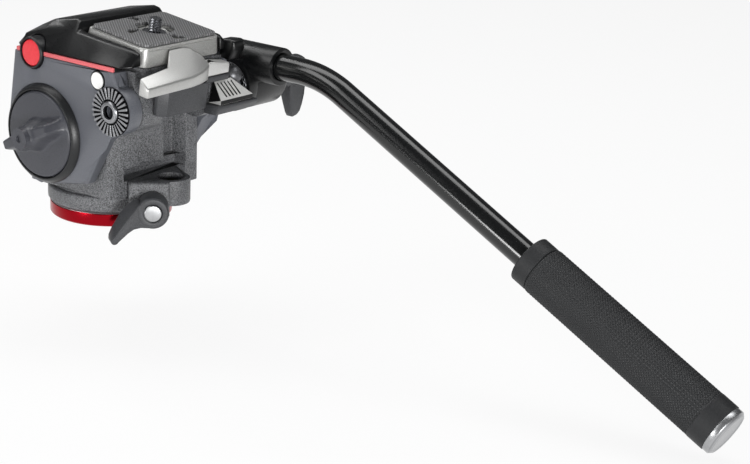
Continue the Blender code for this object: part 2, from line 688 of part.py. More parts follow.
def make_pan_body():
    neck_top = TOWER_BOTTOM + EDGE_BREAK
    flange = [(0, FLANGE_BOTTOM), (FLANGE_RADIUS - FLANGE_BREAK, FLANGE_BOTTOM),
              (FLANGE_RADIUS, FLANGE_BOTTOM + FLANGE_BREAK), (FLANGE_RADIUS, FLANGE_TOP - FLANGE_BREAK),
              (FLANGE_RADIUS - FLANGE_BREAK, FLANGE_TOP), (NECK_RADIUS, FLANGE_TOP),
              (NECK_RADIUS, neck_top), (0, neck_top)]
    body = hang(make("pan_casting", tower_shape(), "black_casting"), "pan_frame")
    keep_inside(body, "pan_frame", "tower_side", tower_side())
    undercut_low = (CHANNEL_RIGHT, TOWER_REAR + UNDERCUT_DEPTH, LEDGE_TOP)
    undercut_high = (TOWER_CHAMFER_WIDTH - TOWER_HALF_WIDTH, TOWER_REAR - OVERRUN, UNDERCUT_TOP)
    cut(body, "pan_frame", "rear_undercut", block(undercut_low, undercut_high))
    add(body, "pan_frame", "flange", turned(flange))

    inner = NECK_RADIUS / 2
    housing = block((-LOCK_HOUSING_RIGHT, inner, LOCK_HOUSING_BOTTOM - LOCK_HEIGHT),
                    (LOCK_HOUSING_LEFT, LOCK_WALL, LEDGE_TOP - LOCK_HEIGHT))
    upright_end = LOCK_WALL - GAP
    soften(housing, LEDGE_BREAK, lambda edge: all(end.co.y > upright_end for end in edge.verts))
    add(body, "lock_frame", "lock_housing", housing, local=True)
    lobe_root = TOWER_REAR + UNDERCUT_DEPTH + OVERRUN
    lobe_outline = arc((LEVEL_X, LEVEL_Y), LEVEL_LOBE_RADIUS, -math.pi, 0, ARC_STEPS)
    lobe_outline += [(LEVEL_X + LEVEL_LOBE_RADIUS + LEVEL_LOBE_RADIUS, lobe_root),
                     (LEVEL_X - LEVEL_LOBE_RADIUS, lobe_root)]
    lobe_shape = prism(lobe_outline, "z", LEVEL_LOBE_BOTTOM, LEDGE_TOP)
    soften(lobe_shape, EDGE_BREAK, lies_at(LEVEL_LOBE_BOTTOM, GAP, 2), 1)
    add(body, "pan_frame", "level_lobe", lobe_shape)

    hub_bore = rod(HUB_RADIUS + GAP, (0, 0, -OVERRUN), ALONG_Z, HUB_FLOOR_BOTTOM + OVERRUN)
    cut(body, "pan_frame", "hub_bore", hub_bore)
    bolt_bore_length = HUB_FLOOR + OVERRUN + OVERRUN + GAP
    bolt_bore = rod(PAN_BOLT_RADIUS + GAP, (0, 0, HUB_TOP - OVERRUN), ALONG_Z, bolt_bore_length, SMALL_SIDES)
    cut(body, "pan_frame", "bolt_bore", bolt_bore)
    pocket_height = TILT_AXIS_Z - HUB_FLOOR_TOP
    pocket = rod(NUT_POCKET_RADIUS, (0, 0, HUB_FLOOR_TOP), ALONG_Z, pocket_height, SMALL_SIDES)
    cut(body, "pan_frame", "nut_pocket", pocket)
    bore_reach = TOWER_HALF_WIDTH + OVERRUN
    tilt_bore = rod(TILT_BORE_RADIUS, TILT_AXIS - ALONG_X * bore_reach, ALONG_X, bore_reach + bore_reach)
    cut(body, "pan_frame", "tilt_bore", tilt_bore)
    recess_start = (LEVEL_X, LEVEL_Y, LEVEL_FLOOR)
    recess = rod(LEVEL_RECESS_RADIUS, recess_start, ALONG_Z, LEVEL_RECESS_DEPTH + OVERRUN, SMALL_SIDES)
    cut(body, "pan_frame", "level_recess", recess)
    cotter_reach = FLANGE_RADIUS + COTTER_FRONT + GAP
    cotter_bore = rod(COTTER_RADIUS + GAP, -ALONG_Y * FLANGE_RADIUS, ALONG_Y, cotter_reach, SMALL_SIDES)
    cut(body, "lock_frame", "cotter_bore", cotter_bore, local=True)
    screw_reach = LOCK_WALL - COTTER_BACK + OVERRUN
    screw_bore = rod(LOCK_SCREW_RADIUS + GAP, ALONG_Y * COTTER_BACK, ALONG_Y, screw_reach, TINY_SIDES)
    cut(body, "lock_frame", "lock_screw_bore", screw_bore, local=True)


def make_level():
    cup_radius = LEVEL_RECESS_RADIUS - GAP
    inner = cup_radius - LEVEL_CUP_WALL
    bottom = LEVEL_FLOOR + GAP
    rim = bottom + LEVEL_CUP_HEIGHT
    floor = bottom + LEVEL_CUP_FLOOR
    cup = [(0, bottom), (cup_radius, bottom), (cup_radius, rim), (inner, rim), (inner, floor), (0, floor)]
    centre = (LEVEL_X, LEVEL_Y, 0)
    hang(make("level_cup", turned(cup, centre, ALONG_Z, SMALL_SIDES), "brass"), "pan_frame")
    vial_radius = inner - GAP
    low = floor + GAP
    shoulder = rim - LEVEL_DOME_RISE
    vial = [(0, low), (vial_radius, low), (vial_radius, shoulder),
            (vial_radius / 2, shoulder + LEVEL_DOME_RISE / 2), (0, rim)]
    hang(make("level_vial", turned(vial, centre, ALONG_Z, SMALL_SIDES), "level_fluid"), "pan_frame")


def lock_blade(reach, drop, tip_width, thickness, tip_thickness, root_radius, start):
    """A tapered finger blade that leaves a knob's hub sideways and down, square to the Y axis."""
    direction = Vector((reach, 0, -drop)).normalized()
    across = Vector((-direction.z, 0, direction.x))
    length = math.hypot(reach, drop)
    sections = []
    for share, half_width_share, thickness_share in LOCK_BLADE_SHARES:
        half_width = tip_width / 2 + (root_radius - tip_width / 2) * half_width_share
        depth = tip_thickness + (thickness - tip_thickness) * thickness_share
        centre = direction * (length * share) + ALONG_Y * start
        sections.append([centre - across * half_width, centre + across * half_width,
                         centre + across * half_width + ALONG_Y * depth,
                         centre - across * half_width + ALONG_Y * depth])
    return loft(sections)


def make_pan_lock():
    cotter_length = COTTER_BACK + COTTER_FRONT
    cotter_shape = rod(COTTER_RADIUS, -ALONG_Y * COTTER_BACK, ALONG_Y, cotter_length, SMALL_SIDES)
    cotter = hang(make("pan_lock_cotter", cotter_shape, "brass"), "cotter_frame", local=True)
    saddle = rod(HUB_RADIUS + GAP, (0, 0, -OVERRUN), ALONG_Z, HUB_TOP + OVERRUN)
    cut(cotter, "pan_frame", "cotter_saddle", saddle)

    screw_start = COTTER_FRONT + GAP
    screw_length = LOCK_KNOB_START + LOCK_KNOB_LENGTH / 2 - screw_start
    screw = rod(LOCK_SCREW_RADIUS, ALONG_Y * screw_start, ALONG_Y, screw_length, TINY_SIDES)
    hang(make("pan_lock_screw", screw, "steel"), "lock_frame", local=True)

    top = LOCK_KNOB_LENGTH
    recess = LOCK_CAP_THICKNESS + GAP
    cap_bore = LOCK_CAP_RADIUS + GAP
    hub = [(0, 0), (LOCK_KNOB_RADIUS - EDGE_BREAK, 0), (LOCK_KNOB_RADIUS, EDGE_BREAK),
           (LOCK_KNOB_RADIUS, top - EDGE_BREAK), (LOCK_KNOB_RADIUS - EDGE_BREAK, top), (cap_bore, top),
           (cap_bore, top - recess), (0, top - recess)]
    knob_shape = turned(hub, ALONG_Y * LOCK_KNOB_START, ALONG_Y, SMALL_SIDES)
    knob = hang(make("pan_lock_knob", knob_shape, "black_polymer"), "lock_frame", local=True)
    blade_start = LOCK_KNOB_START + EDGE_BREAK
    blade = lock_blade(LOCK_BLADE_REACH, LOCK_BLADE_DROP, LOCK_BLADE_TIP_WIDTH, LOCK_BLADE_THICKNESS,
                       LOCK_BLADE_TIP_THICKNESS, LOCK_KNOB_RADIUS - EDGE_BREAK, blade_start)
    soften(blade, EDGE_BREAK, lambda edge: True, 1)
    add(knob, "lock_frame", "pan_lock_blade", blade, local=True)
    socket_start = ALONG_Y * (LOCK_KNOB_START - OVERRUN)
    socket_length = LOCK_KNOB_LENGTH / 2 + OVERRUN + GAP
    socket = rod(LOCK_SCREW_RADIUS + GAP, socket_start, ALONG_Y, socket_length, TINY_SIDES)
    cut(knob, "lock_frame", "pan_lock_socket", socket, local=True)
    cap_start = ALONG_Y * (LOCK_KNOB_START + LOCK_KNOB_LENGTH - LOCK_CAP_THICKNESS)
    cap = rod(LOCK_CAP_RADIUS, cap_start, ALONG_Y, LOCK_CAP_THICKNESS, SMALL_SIDES)
    hang(make("pan_knob_cap", cap, "machined_aluminium"), "lock_frame", local=True)


def make_tilt_drive():
    shaft_bore = SHAFT_RADIUS + GAP
    bush_end = TOWER_HALF_WIDTH - GAP
    bush_radius = TILT_BORE_RADIUS - GAP
    for side, name in ((-1, "tilt_bush_left"), (1, "tilt_bush_right")):
        start = TILT_AXIS + ALONG_X * (side * bush_end)
        bush = tube(bush_radius, shaft_bore, start, ALONG_X * -side, BUSH_FLANGE_LENGTH, SMALL_SIDES)
        hang(make(name, bush, "brass"), "pan_frame")
    cartridge_start = -bush_end + BUSH_FLANGE_LENGTH + GAP
    cartridge = tube(bush_radius, shaft_bore, TILT_AXIS + ALONG_X * cartridge_start, ALONG_X,
                     CARTRIDGE_LENGTH, SMALL_SIDES)
    hang(make("tilt_fluid_cartridge", cartridge, "machined_aluminium"), "pan_frame")
    room_start = cartridge_start + CARTRIDGE_LENGTH
    room = bush_end - BUSH_FLANGE_LENGTH - room_start
    margin = SPRING_WIRE_RADIUS + GAP
    pitch = (room - margin - margin) / SPRING_TURNS
    spring = wound(SPRING_RADIUS, SPRING_WIRE_RADIUS, SPRING_TURNS, pitch, SPRING_STEPS,
                   TILT_AXIS + ALONG_X * (room_start + margin), ALONG_X)
    hang(make("counterbalance_spring", spring, "spring_steel"), "pan_frame")
    shaft_reach = CHEEK_FACE - CHEEK_BEVEL
    shaft_start = TILT_AXIS - ALONG_X * shaft_reach
    shaft = rod(SHAFT_RADIUS, shaft_start, ALONG_X, shaft_reach + shaft_reach, SMALL_SIDES)
    hang(make("tilt_shaft", shaft, "steel"), "tilt_frame")


# Tilt platform

def cheek_outline():
    """The cheek's side view, in Y and Z, from its top front corner down and round the rear."""
    axis = (TILT_AXIS_Y, TILT_AXIS_Z)
    bottom_arc = arc(axis, CHEEK_RADIUS, 0, -math.pi / 2, ARC_STEPS)
    inside = ROSETTE_RADIUS / 2
    return [(CHEEK_FRONT_Y, CHEEK_TOP)] + bottom_arc + [
        (CHEEK_HEEL_Y, CHEEK_HEEL_Z), (CHEEK_WAIST_Y, CHEEK_WAIST_Z),
        (ROSETTE_Y, ROSETTE_Z - ROSETTE_RADIUS + EDGE_BREAK), (ROSETTE_Y - inside, ROSETTE_Z),
        (ROSETTE_Y - inside / 2, ROSETTE_Z + inside), (CHEEK_REAR_Y, CHEEK_TOP)]


def make_cheek(name, side):
    face = side * CHEEK_FACE
    inner = side * CHEEK_INNER
    shape = prism(cheek_outline(), "x", inner, face)
    below_top = CHEEK_TOP - GAP

    def outer_rim(edge):
        at_face = all(abs(end.co.x - face) < GAP for end in edge.verts)
        return at_face and min(end.co.z for end in edge.verts) < below_top

    soften(shape, CHEEK_BEVEL, outer_rim, 2)
    cheek = hang(make(name, shape, "satin_cheek"), "tilt_frame")
    boss_start = ROSETTE_AXIS + ALONG_X * (inner + side * GAP)
    boss_length = ROSETTE_SEAT - GAP - CHEEK_INNER
    boss = rod(ROSETTE_RADIUS, boss_start, ALONG_X * side, boss_length - GAP)
    add(cheek, "tilt_frame", name + "_boss", boss)
    bore = rod(ROSETTE_BORE_RADIUS, ROSETTE_AXIS + ALONG_X * (inner - side * OVERRUN), ALONG_X * side,
               boss_length + OVERRUN + OVERRUN, SMALL_SIDES)
    cut(cheek, "tilt_frame", name + "_bore", bore)
    socket = rod(SHAFT_RADIUS + GAP, TILT_AXIS + ALONG_X * (inner - side * OVERRUN), ALONG_X * side,
                 CHEEK_FACE - CHEEK_BEVEL - CHEEK_INNER + OVERRUN + GAP, SMALL_SIDES)
    cut(cheek, "tilt_frame", name + "_shaft_socket", socket)
    return cheek


def make_cheeks():
    left = make_cheek("left_cheek", -1)
    make_cheek("right_cheek", 1)
    badge_start = (-CHEEK_FACE - BADGE_COLLAR_PROUD - OVERRUN, BADGE_Y, BADGE_Z)
    badge_length = BADGE_COLLAR_DEPTH + BADGE_COLLAR_PROUD + OVERRUN + GAP
    badge_seat = rod(BADGE_COLLAR_RADIUS + GAP, badge_start, ALONG_X, badge_length, SMALL_SIDES)
    cut(left, "tilt_frame", "badge_seat", badge_seat)
    label_start = (-CHEEK_FACE - OVERRUN, LABEL_Y, LABEL_Z)
    label_length = LABEL_THICKNESS - LABEL_PROUD + OVERRUN + GAP
    label_seat = rod(LABEL_RADIUS + GAP, label_start, ALONG_X, label_length, SMALL_SIDES)
    cut(left, "tilt_frame", "label_seat", label_seat)


def rosette(name, side, finish, frame_name, base_x, towards):
    """A toothed ring with a hub: flat teeth and deep gaps that run outward from the hub."""
    shape = bmesh.new()
    land = math.tau / TOOTH_COUNT * TOOTH_LAND_SHARE
    valley = ROSETTE_THICKNESS
    crown = ROSETTE_THICKNESS + TOOTH_HEIGHT
    rows = []
    for number in range(TOOTH_COUNT):
        start = math.tau * number / TOOTH_COUNT
        end = start + land
        rows += [(start, valley), (start, crown), (end, crown), (end, valley)]

    def ring(radius, places):
        return [shape.verts.new((radius * math.cos(angle), radius * math.sin(angle), level))
                for angle, level in places]

    feet_rows = [(angle, 0) for angle, level in rows if level == valley]
    top_inner = ring(ROSETTE_INNER_RADIUS, rows)
    top_outer = ring(ROSETTE_RADIUS, rows)
    low_inner = ring(ROSETTE_INNER_RADIUS, feet_rows)
    low_outer = ring(ROSETTE_RADIUS, feet_rows)
    count = len(rows)
    for place in range(count):
        after = (place + 1) % count
        shape.faces.new((top_inner[place], top_inner[after], top_outer[after], top_outer[place]))
    feet = len(low_inner)
    for place in range(feet):
        after = (place + 1) % feet
        shape.faces.new((low_inner[place], low_outer[place], low_outer[after], low_inner[after]))
        tooth = place // 2 * 4
        for low, top in ((low_inner, top_inner), (low_outer, top_outer)):
            if place % 2 == 0:
                edge = [top[tooth + offset] for offset in (3, 2, 1, 0)]
            else:
                edge = [top[(tooth + 4) % count], top[tooth + 3]]
            shape.faces.new([low[place], low[after]] + edge)
    turn = (ALONG_X * towards).to_track_quat("Z", "Y").to_matrix().to_4x4()
    shape.transform(Matrix.Translation(ROSETTE_AXIS + ALONG_X * base_x) @ turn)
    piece = hang(make(name, shape, finish), frame_name)
    if side:
        hub_length = ROSETTE_HUB_FACE - ROSETTE_SEAT
        collar = ROSETTE_INNER_RADIUS + GAP
        hub = [(ROSETTE_BORE_RADIUS, 0), (collar, 0), (collar, ROSETTE_THICKNESS / 2),
               (ROSETTE_HUB_RADIUS, ROSETTE_THICKNESS / 2), (ROSETTE_HUB_RADIUS, hub_length - EDGE_BREAK),
               (ROSETTE_HUB_RADIUS - EDGE_BREAK, hub_length), (ROSETTE_BORE_RADIUS, hub_length)]
        hub_shape = turned(hub, ROSETTE_AXIS + ALONG_X * base_x, ALONG_X * towards, SMALL_SIDES)
        add(piece, frame_name, name + "_hub", hub_shape)
    return piece


def make_frame_and_rosettes():
    side_gap = CHEEK_INNER - GAP
    stub_length = side_gap - BARREL_END
    saddle_half = PLATE_HALF_WIDTH
    saddle = rounded_rectangle((-saddle_half, PLATE_REAR + GAP), (saddle_half, PLATE_FRONT), PLATE_CORNER)
    piece = make("platform_frame", prism(saddle, "z", SADDLE_BOTTOM, SADDLE_TOP), "black_casting")
    hang(piece, "deck_frame", local=True)
    web_bottom = ROSETTE_Z
    for side, name in ((-1, "left"), (1, "right")):
        low = (side * WEB_LEFT, WEB_REAR_Y, web_bottom)
        high = (side * side_gap, WEB_FRONT_Y, CHEEK_TOP)
        add(piece, "tilt_frame", name + "_web", block(low, high))
        start = ROSETTE_AXIS + ALONG_X * (side * BARREL_END)
        add(piece, "tilt_frame", name + "_barrel", rod(ROSETTE_RADIUS, start, ALONG_X * side, stub_length))
        bore_start = ROSETTE_AXIS + ALONG_X * (side * (BARREL_END - OVERRUN))
        bore_length = stub_length + OVERRUN + OVERRUN
        bore = rod(ROSETTE_BORE_RADIUS, bore_start, ALONG_X * side, bore_length, SMALL_SIDES)
        cut(piece, "tilt_frame", name + "_barrel_bore", bore)
        rosette(name + "_rosette", side, "steel", "tilt_frame", side * ROSETTE_SEAT, side)


def wing_section(along, half_width, height):
    """One section across the knob's wing: a wide foot and a narrow rounded top."""
    crest = min(half_width, WING_TOP_HALF_WIDTH)
    foot = KNOB_RIM / 2
    shoulder = height - EDGE_BREAK
    across = [(half_width, foot), (crest, shoulder), (crest - EDGE_BREAK, height)]
    right = [(along, side, level) for side, level in across]
    left = [(along, -side, level) for side, level in reversed(across)]
    return right + left


def make_tilt_lock():
    face = TILT_AXIS - ALONG_X * (CHEEK_FACE + GAP)
    outward = -ALONG_X
    inner = KNOB_RADIUS + GAP
    collar = [(inner, 0), (COLLAR_RADIUS, 0), (COLLAR_TOP_RADIUS, COLLAR_HEIGHT - EDGE_BREAK),
              (COLLAR_TOP_RADIUS - EDGE_BREAK, COLLAR_HEIGHT), (inner, COLLAR_HEIGHT)]
    hang(make("tilt_collar", turned(collar, face, outward), "black_polymer"), "tilt_frame")

    rim = KNOB_RIM
    crest = rim + KNOB_CROWN
    knob = [(0, GAP), (KNOB_RADIUS, GAP), (KNOB_RADIUS, rim - EDGE_BREAK), (KNOB_RADIUS - EDGE_BREAK, rim),
            (KNOB_RADIUS * KNOB_DOME_SHARE, crest), (0, crest)]
    piece = hang(make("tilt_knob", turned(knob, face, outward), "black_polymer"), "tilt_knob_frame")
    sections = []
    for step in range(-WING_STEPS, WING_STEPS + 1):
        share = step / WING_STEPS
        rise = math.cos(share * math.pi / 2) ** 2
        half_width = WING_TIP_HALF_WIDTH + (WING_HALF_WIDTH - WING_TIP_HALF_WIDTH) * rise
        height = WING_TIP_HEIGHT + (WING_CREST_HEIGHT - WING_TIP_HEIGHT) * rise
        sections.append(wing_section(WING_REACH * share, half_width, height))
    wing = loft(sections)
    lengthwise = Vector((0, math.cos(WING_ANGLE), math.sin(WING_ANGLE)))
    crosswise = outward.cross(lengthwise)
    turn = Matrix((lengthwise, crosswise, outward)).transposed().to_4x4()
    wing.transform(Matrix.Translation(face) @ turn)
    add(piece, "tilt_knob_frame", "tilt_wing", wing)
    hub = [(0, rim / 2), (WING_HALF_WIDTH, rim / 2), (WING_HUB_RADIUS, WING_HUB_FACE - EDGE_BREAK),
           (WING_HUB_RADIUS - EDGE_BREAK, WING_HUB_FACE), (0, WING_HUB_FACE)]
    add(piece, "tilt_knob_frame", "tilt_wing_hub", turned(hub, face, outward, SMALL_SIDES))
    hole_start = face + outward * (WING_HUB_FACE - KNOB_SCREW_LENGTH)
    hole = rod(KNOB_SCREW_RADIUS + GAP, hole_start, outward, KNOB_SCREW_LENGTH + OVERRUN, TINY_SIDES)
    cut(piece, "tilt_knob_frame", "tilt_screw_hole", hole)
    screw_length = KNOB_SCREW_LENGTH - GAP - EDGE_BREAK - EDGE_BREAK
    screw_start = hole_start + outward * GAP
    key = KNOB_SCREW_RADIUS / 2
    screw = [(0, 0), (KNOB_SCREW_RADIUS, 0), (KNOB_SCREW_RADIUS, screw_length), (key, screw_length),
             (key, screw_length - KNOB_SCREW_RADIUS), (0, screw_length - KNOB_SCREW_RADIUS)]
    screw_shape = turned(screw, screw_start, outward, TINY_SIDES)
    hang(make("tilt_knob_screw", screw_shape, "steel"), "tilt_knob_frame")

    cover_start = TILT_AXIS + ALONG_X * (CHEEK_FACE + GAP)
    cover = [(0, 0), (RIGHT_COVER_RADIUS, 0), (RIGHT_COVER_RADIUS - EDGE_BREAK, RIGHT_COVER_THICKNESS),
             (0, RIGHT_COVER_THICKNESS)]
    hang(make("right_cover", turned(cover, cover_start, ALONG_X), "black_polymer"), "tilt_frame")


def make_trim():
    outer = CHEEK_FACE + STRIPE_PROUD
    stripe_top = STRIPE_BOTTOM + STRIPE_HEIGHT
    stripe_front = CHEEK_FRONT_Y - CHEEK_BEVEL
    badge_reach = BADGE_COLLAR_RADIUS + GAP
    for side, name, rear, front in ((-1, "left_stripe_front", BADGE_Y + badge_reach, stripe_front),
                                    (-1, "left_stripe_rear", STRIPE_REAR_Y, BADGE_Y - badge_reach),
                                    (1, "right_stripe", STRIPE_REAR_Y, stripe_front)):
        low = (side * (outer - STRIPE_DEPTH), rear, STRIPE_BOTTOM)
        high = (side * outer, front, stripe_top)
        hang(make(name, block(low, high), "salmon_trim"), "tilt_frame")
    collar_start = (-CHEEK_FACE - BADGE_COLLAR_PROUD, BADGE_Y, BADGE_Z)
    seat = BADGE_SINK + BADGE_THICKNESS + GAP
    well = BADGE_RADIUS + GAP
    depth = BADGE_COLLAR_DEPTH + BADGE_COLLAR_PROUD
    collar = [(0, seat), (well, seat), (well, 0), (BADGE_COLLAR_RADIUS - EDGE_BREAK, 0),
              (BADGE_COLLAR_RADIUS, EDGE_BREAK), (BADGE_COLLAR_RADIUS, depth), (0, depth)]
    collar_shape = turned(collar, collar_start, ALONG_X, SMALL_SIDES)
    hang(make("badge_collar", collar_shape, "black_polymer"), "tilt_frame")
    disc_start = Vector(collar_start) + ALONG_X * BADGE_SINK
    disc = rod(BADGE_RADIUS, disc_start, ALONG_X, BADGE_THICKNESS, SMALL_SIDES)
    hang(make("badge_disc", disc, "red_enamel"), "tilt_frame")
    label_start = (-CHEEK_FACE - LABEL_PROUD, LABEL_Y, LABEL_Z)
    label = rod(LABEL_RADIUS, label_start, ALONG_X, LABEL_THICKNESS, SMALL_SIDES)
    hang(make("label_disc", label, "white_polymer"), "tilt_frame")


def bonnet_section(shares):
    """A cross section of the bonnet, from its left foot over the top to its right foot."""
    place, foot, shoulder, top, shoulder_rise, top_rise = shares
    y = BONNET_REAR_Y + BONNET_LENGTH * place
    rising = [(foot, 0), (shoulder, shoulder_rise), (top, top_rise)]
    half = [(CHEEK_FACE * width, BONNET_BOTTOM + BONNET_HEIGHT * rise) for width, rise in rising]
    return [(-x, y, z) for x, z in half] + [(x, y, z) for x, z in reversed(half)]


def make_bonnet():
    shape = loft([bonnet_section(shares) for shares in BONNET_STATION_SHARES])
    piece = hang(make("bonnet", shape, "black_casting"), "tilt_frame")
    side = PLATE_HALF_WIDTH + GAP + GAP
    reach = BONNET_LENGTH
    well = block((-side, PLATE_REAR - reach, -reach), (side, PLATE_FRONT + GAP + GAP, reach))
    cut(piece, "deck_frame", "plate_well", well, local=True)
    hood_rear = DECK_Y + PLATE_FRONT + BONNET_POCKET_WALL
    hood_low = (-side, hood_rear, BONNET_BOTTOM - OVERRUN)
    hood_high = (side, CHEEK_FRONT_Y - BONNET_POCKET_WALL, BONNET_TOP - BONNET_CROWN - BONNET_CROWN)
    cut(piece, "tilt_frame", "hood_hollow", block(hood_low, hood_high))
    start = (-CHEEK_FACE - OVERRUN, BADGE_Y, BADGE_Z)
    seat_length = BADGE_COLLAR_DEPTH - BADGE_COLLAR_PROUD + OVERRUN + GAP
    seat = rod(BADGE_COLLAR_RADIUS + GAP, start, ALONG_X, seat_length + BADGE_COLLAR_PROUD, SMALL_SIDES)
    cut(piece, "tilt_frame", "bonnet_badge_seat", seat)


# Deck: the quick release plate and what holds it

def make_plate():
    low = (-PLATE_HALF_WIDTH, PLATE_REAR + GAP)
    high = (PLATE_HALF_WIDTH, PLATE_FRONT)
    foot = rounded_rectangle(low, high, PLATE_CORNER)
    head = rounded_rectangle((low[0] + PLATE_TAPER, low[1] + PLATE_TAPER),
                             (high[0] - PLATE_TAPER, high[1] - PLATE_TAPER), PLATE_CORNER)
    shape = loft([[(x, y, -PLATE_HEIGHT) for x, y in foot], [(x, y, PLATE_TOP) for x, y in head]])
    plate = hang(make("quick_plate", shape, "black_casting"), "plate_frame", local=True)
    pocket_top = PLATE_TOP - PLATE_WEB
    pocket_start = -ALONG_Z * (PLATE_HEIGHT + OVERRUN)
    pocket_depth = PLATE_HEIGHT + pocket_top + OVERRUN
    pocket = rod(PLATE_POCKET_RADIUS, pocket_start, ALONG_Z, pocket_depth, SMALL_SIDES)
    cut(plate, "plate_frame", "plate_pocket", pocket, local=True)
    hole_start = ALONG_Z * (pocket_top - OVERRUN)
    hole_length = PLATE_WEB + OVERRUN + OVERRUN
    hole = rod(CAMERA_COLLAR_RADIUS + GAP, hole_start, ALONG_Z, hole_length, SMALL_SIDES)
    cut(plate, "plate_frame", "plate_hole", hole, local=True)
    pad_corner = (PAD_HALF_WIDTH, PAD_HALF_DEPTH)
    pad_outline = rounded_rectangle((-PAD_HALF_WIDTH, -PAD_HALF_DEPTH), pad_corner, PAD_CORNER)
    pad_shape = prism(pad_outline, "z", -PAD_THICKNESS, 0)
    pad = hang(make("rubber_pad", pad_shape, "grey_rubber"), "plate_frame", local=True)
    pad_hole = rod(PAD_HOLE_RADIUS, -ALONG_Z * (PAD_THICKNESS + OVERRUN), ALONG_Z,
                   PAD_THICKNESS + OVERRUN + OVERRUN, SMALL_SIDES)
    cut(pad, "plate_frame", "pad_hole", pad_hole, local=True)


def make_camera_screw():
    core = CAMERA_THREAD_RADIUS - CAMERA_THREAD_DEPTH
    collar_top = PLATE_TOP
    head_top = PLATE_TOP - PLATE_WEB - GAP
    head_bottom = head_top - CAMERA_HEAD_THICKNESS
    thread = threaded_outline(core, CAMERA_THREAD_DEPTH, CAMERA_THREAD_PITCH, collar_top, CAMERA_SCREW_RISE)
    outline = [(0, CAMERA_SCREW_RISE)] + thread + [
        (CAMERA_COLLAR_RADIUS, collar_top), (CAMERA_COLLAR_RADIUS, head_top),
        (CAMERA_HEAD_RADIUS, head_top), (CAMERA_HEAD_RADIUS, head_bottom), (0, head_bottom)]
    hang(make("camera_screw", turned(outline, sides=SMALL_SIDES), "steel"), "screw_frame", local=True)
    level = head_bottom - GAP - D_RING_WIRE_RADIUS
    bow = [(x, y, level) for x, y in arc((0, 0), D_RING_RADIUS, 0, math.pi, ARC_STEPS)]
    curve = bpy.data.curves.new("d_ring", "CURVE")
    curve.dimensions = "3D"
    curve.bevel_depth = D_RING_WIRE_RADIUS
    curve.bevel_resolution = 1
    curve.use_fill_caps = True
    line = curve.splines.new("POLY")
    line.points.add(len(bow) - 1)
    for point, place in zip(line.points, bow):
        point.co = (*place, 1)
    line.use_cyclic_u = True
    curve.materials.append(bpy.data.materials["steel"])
    ring = bpy.data.objects.new("d_ring", curve)
    bpy.context.scene.collection.objects.link(ring)
    ring.parent = bpy.data.objects["screw_frame"]


def make_release_lever():
    length = LEVER_RIGHT - LEVER_LEFT
    depth = LEVER_FRONT - LEVER_REAR

    def top_of(x, y):
        return LEVER_TOP + LEVER_SLOPE_SHARE * (y - LEVER_FRONT)

    outline = [(LEVER_LEFT + length * along, LEVER_REAR + depth * across)
               for along, across in LEVER_OUTLINE_SHARES]
    shape = prism(outline, "z", LEVER_BOTTOM, 0, top_of)
    lever = hang(make("release_lever", shape, "silver_casting"), "lever_frame", local=True)
    lever.data.transform(Matrix.Translation((-LEVER_PIN_X, -LEVER_PIN_Y, 0)))
    bore_start = ALONG_Z * (LEVER_BOTTOM - OVERRUN)
    bore_length = LEVER_PIN_TOP + GAP - LEVER_BOTTOM + OVERRUN
    bore = rod(LEVER_PIN_RADIUS + GAP, bore_start, ALONG_Z, bore_length, TINY_SIDES)
    cut(lever, "lever_frame", "lever_bore", bore, local=True)


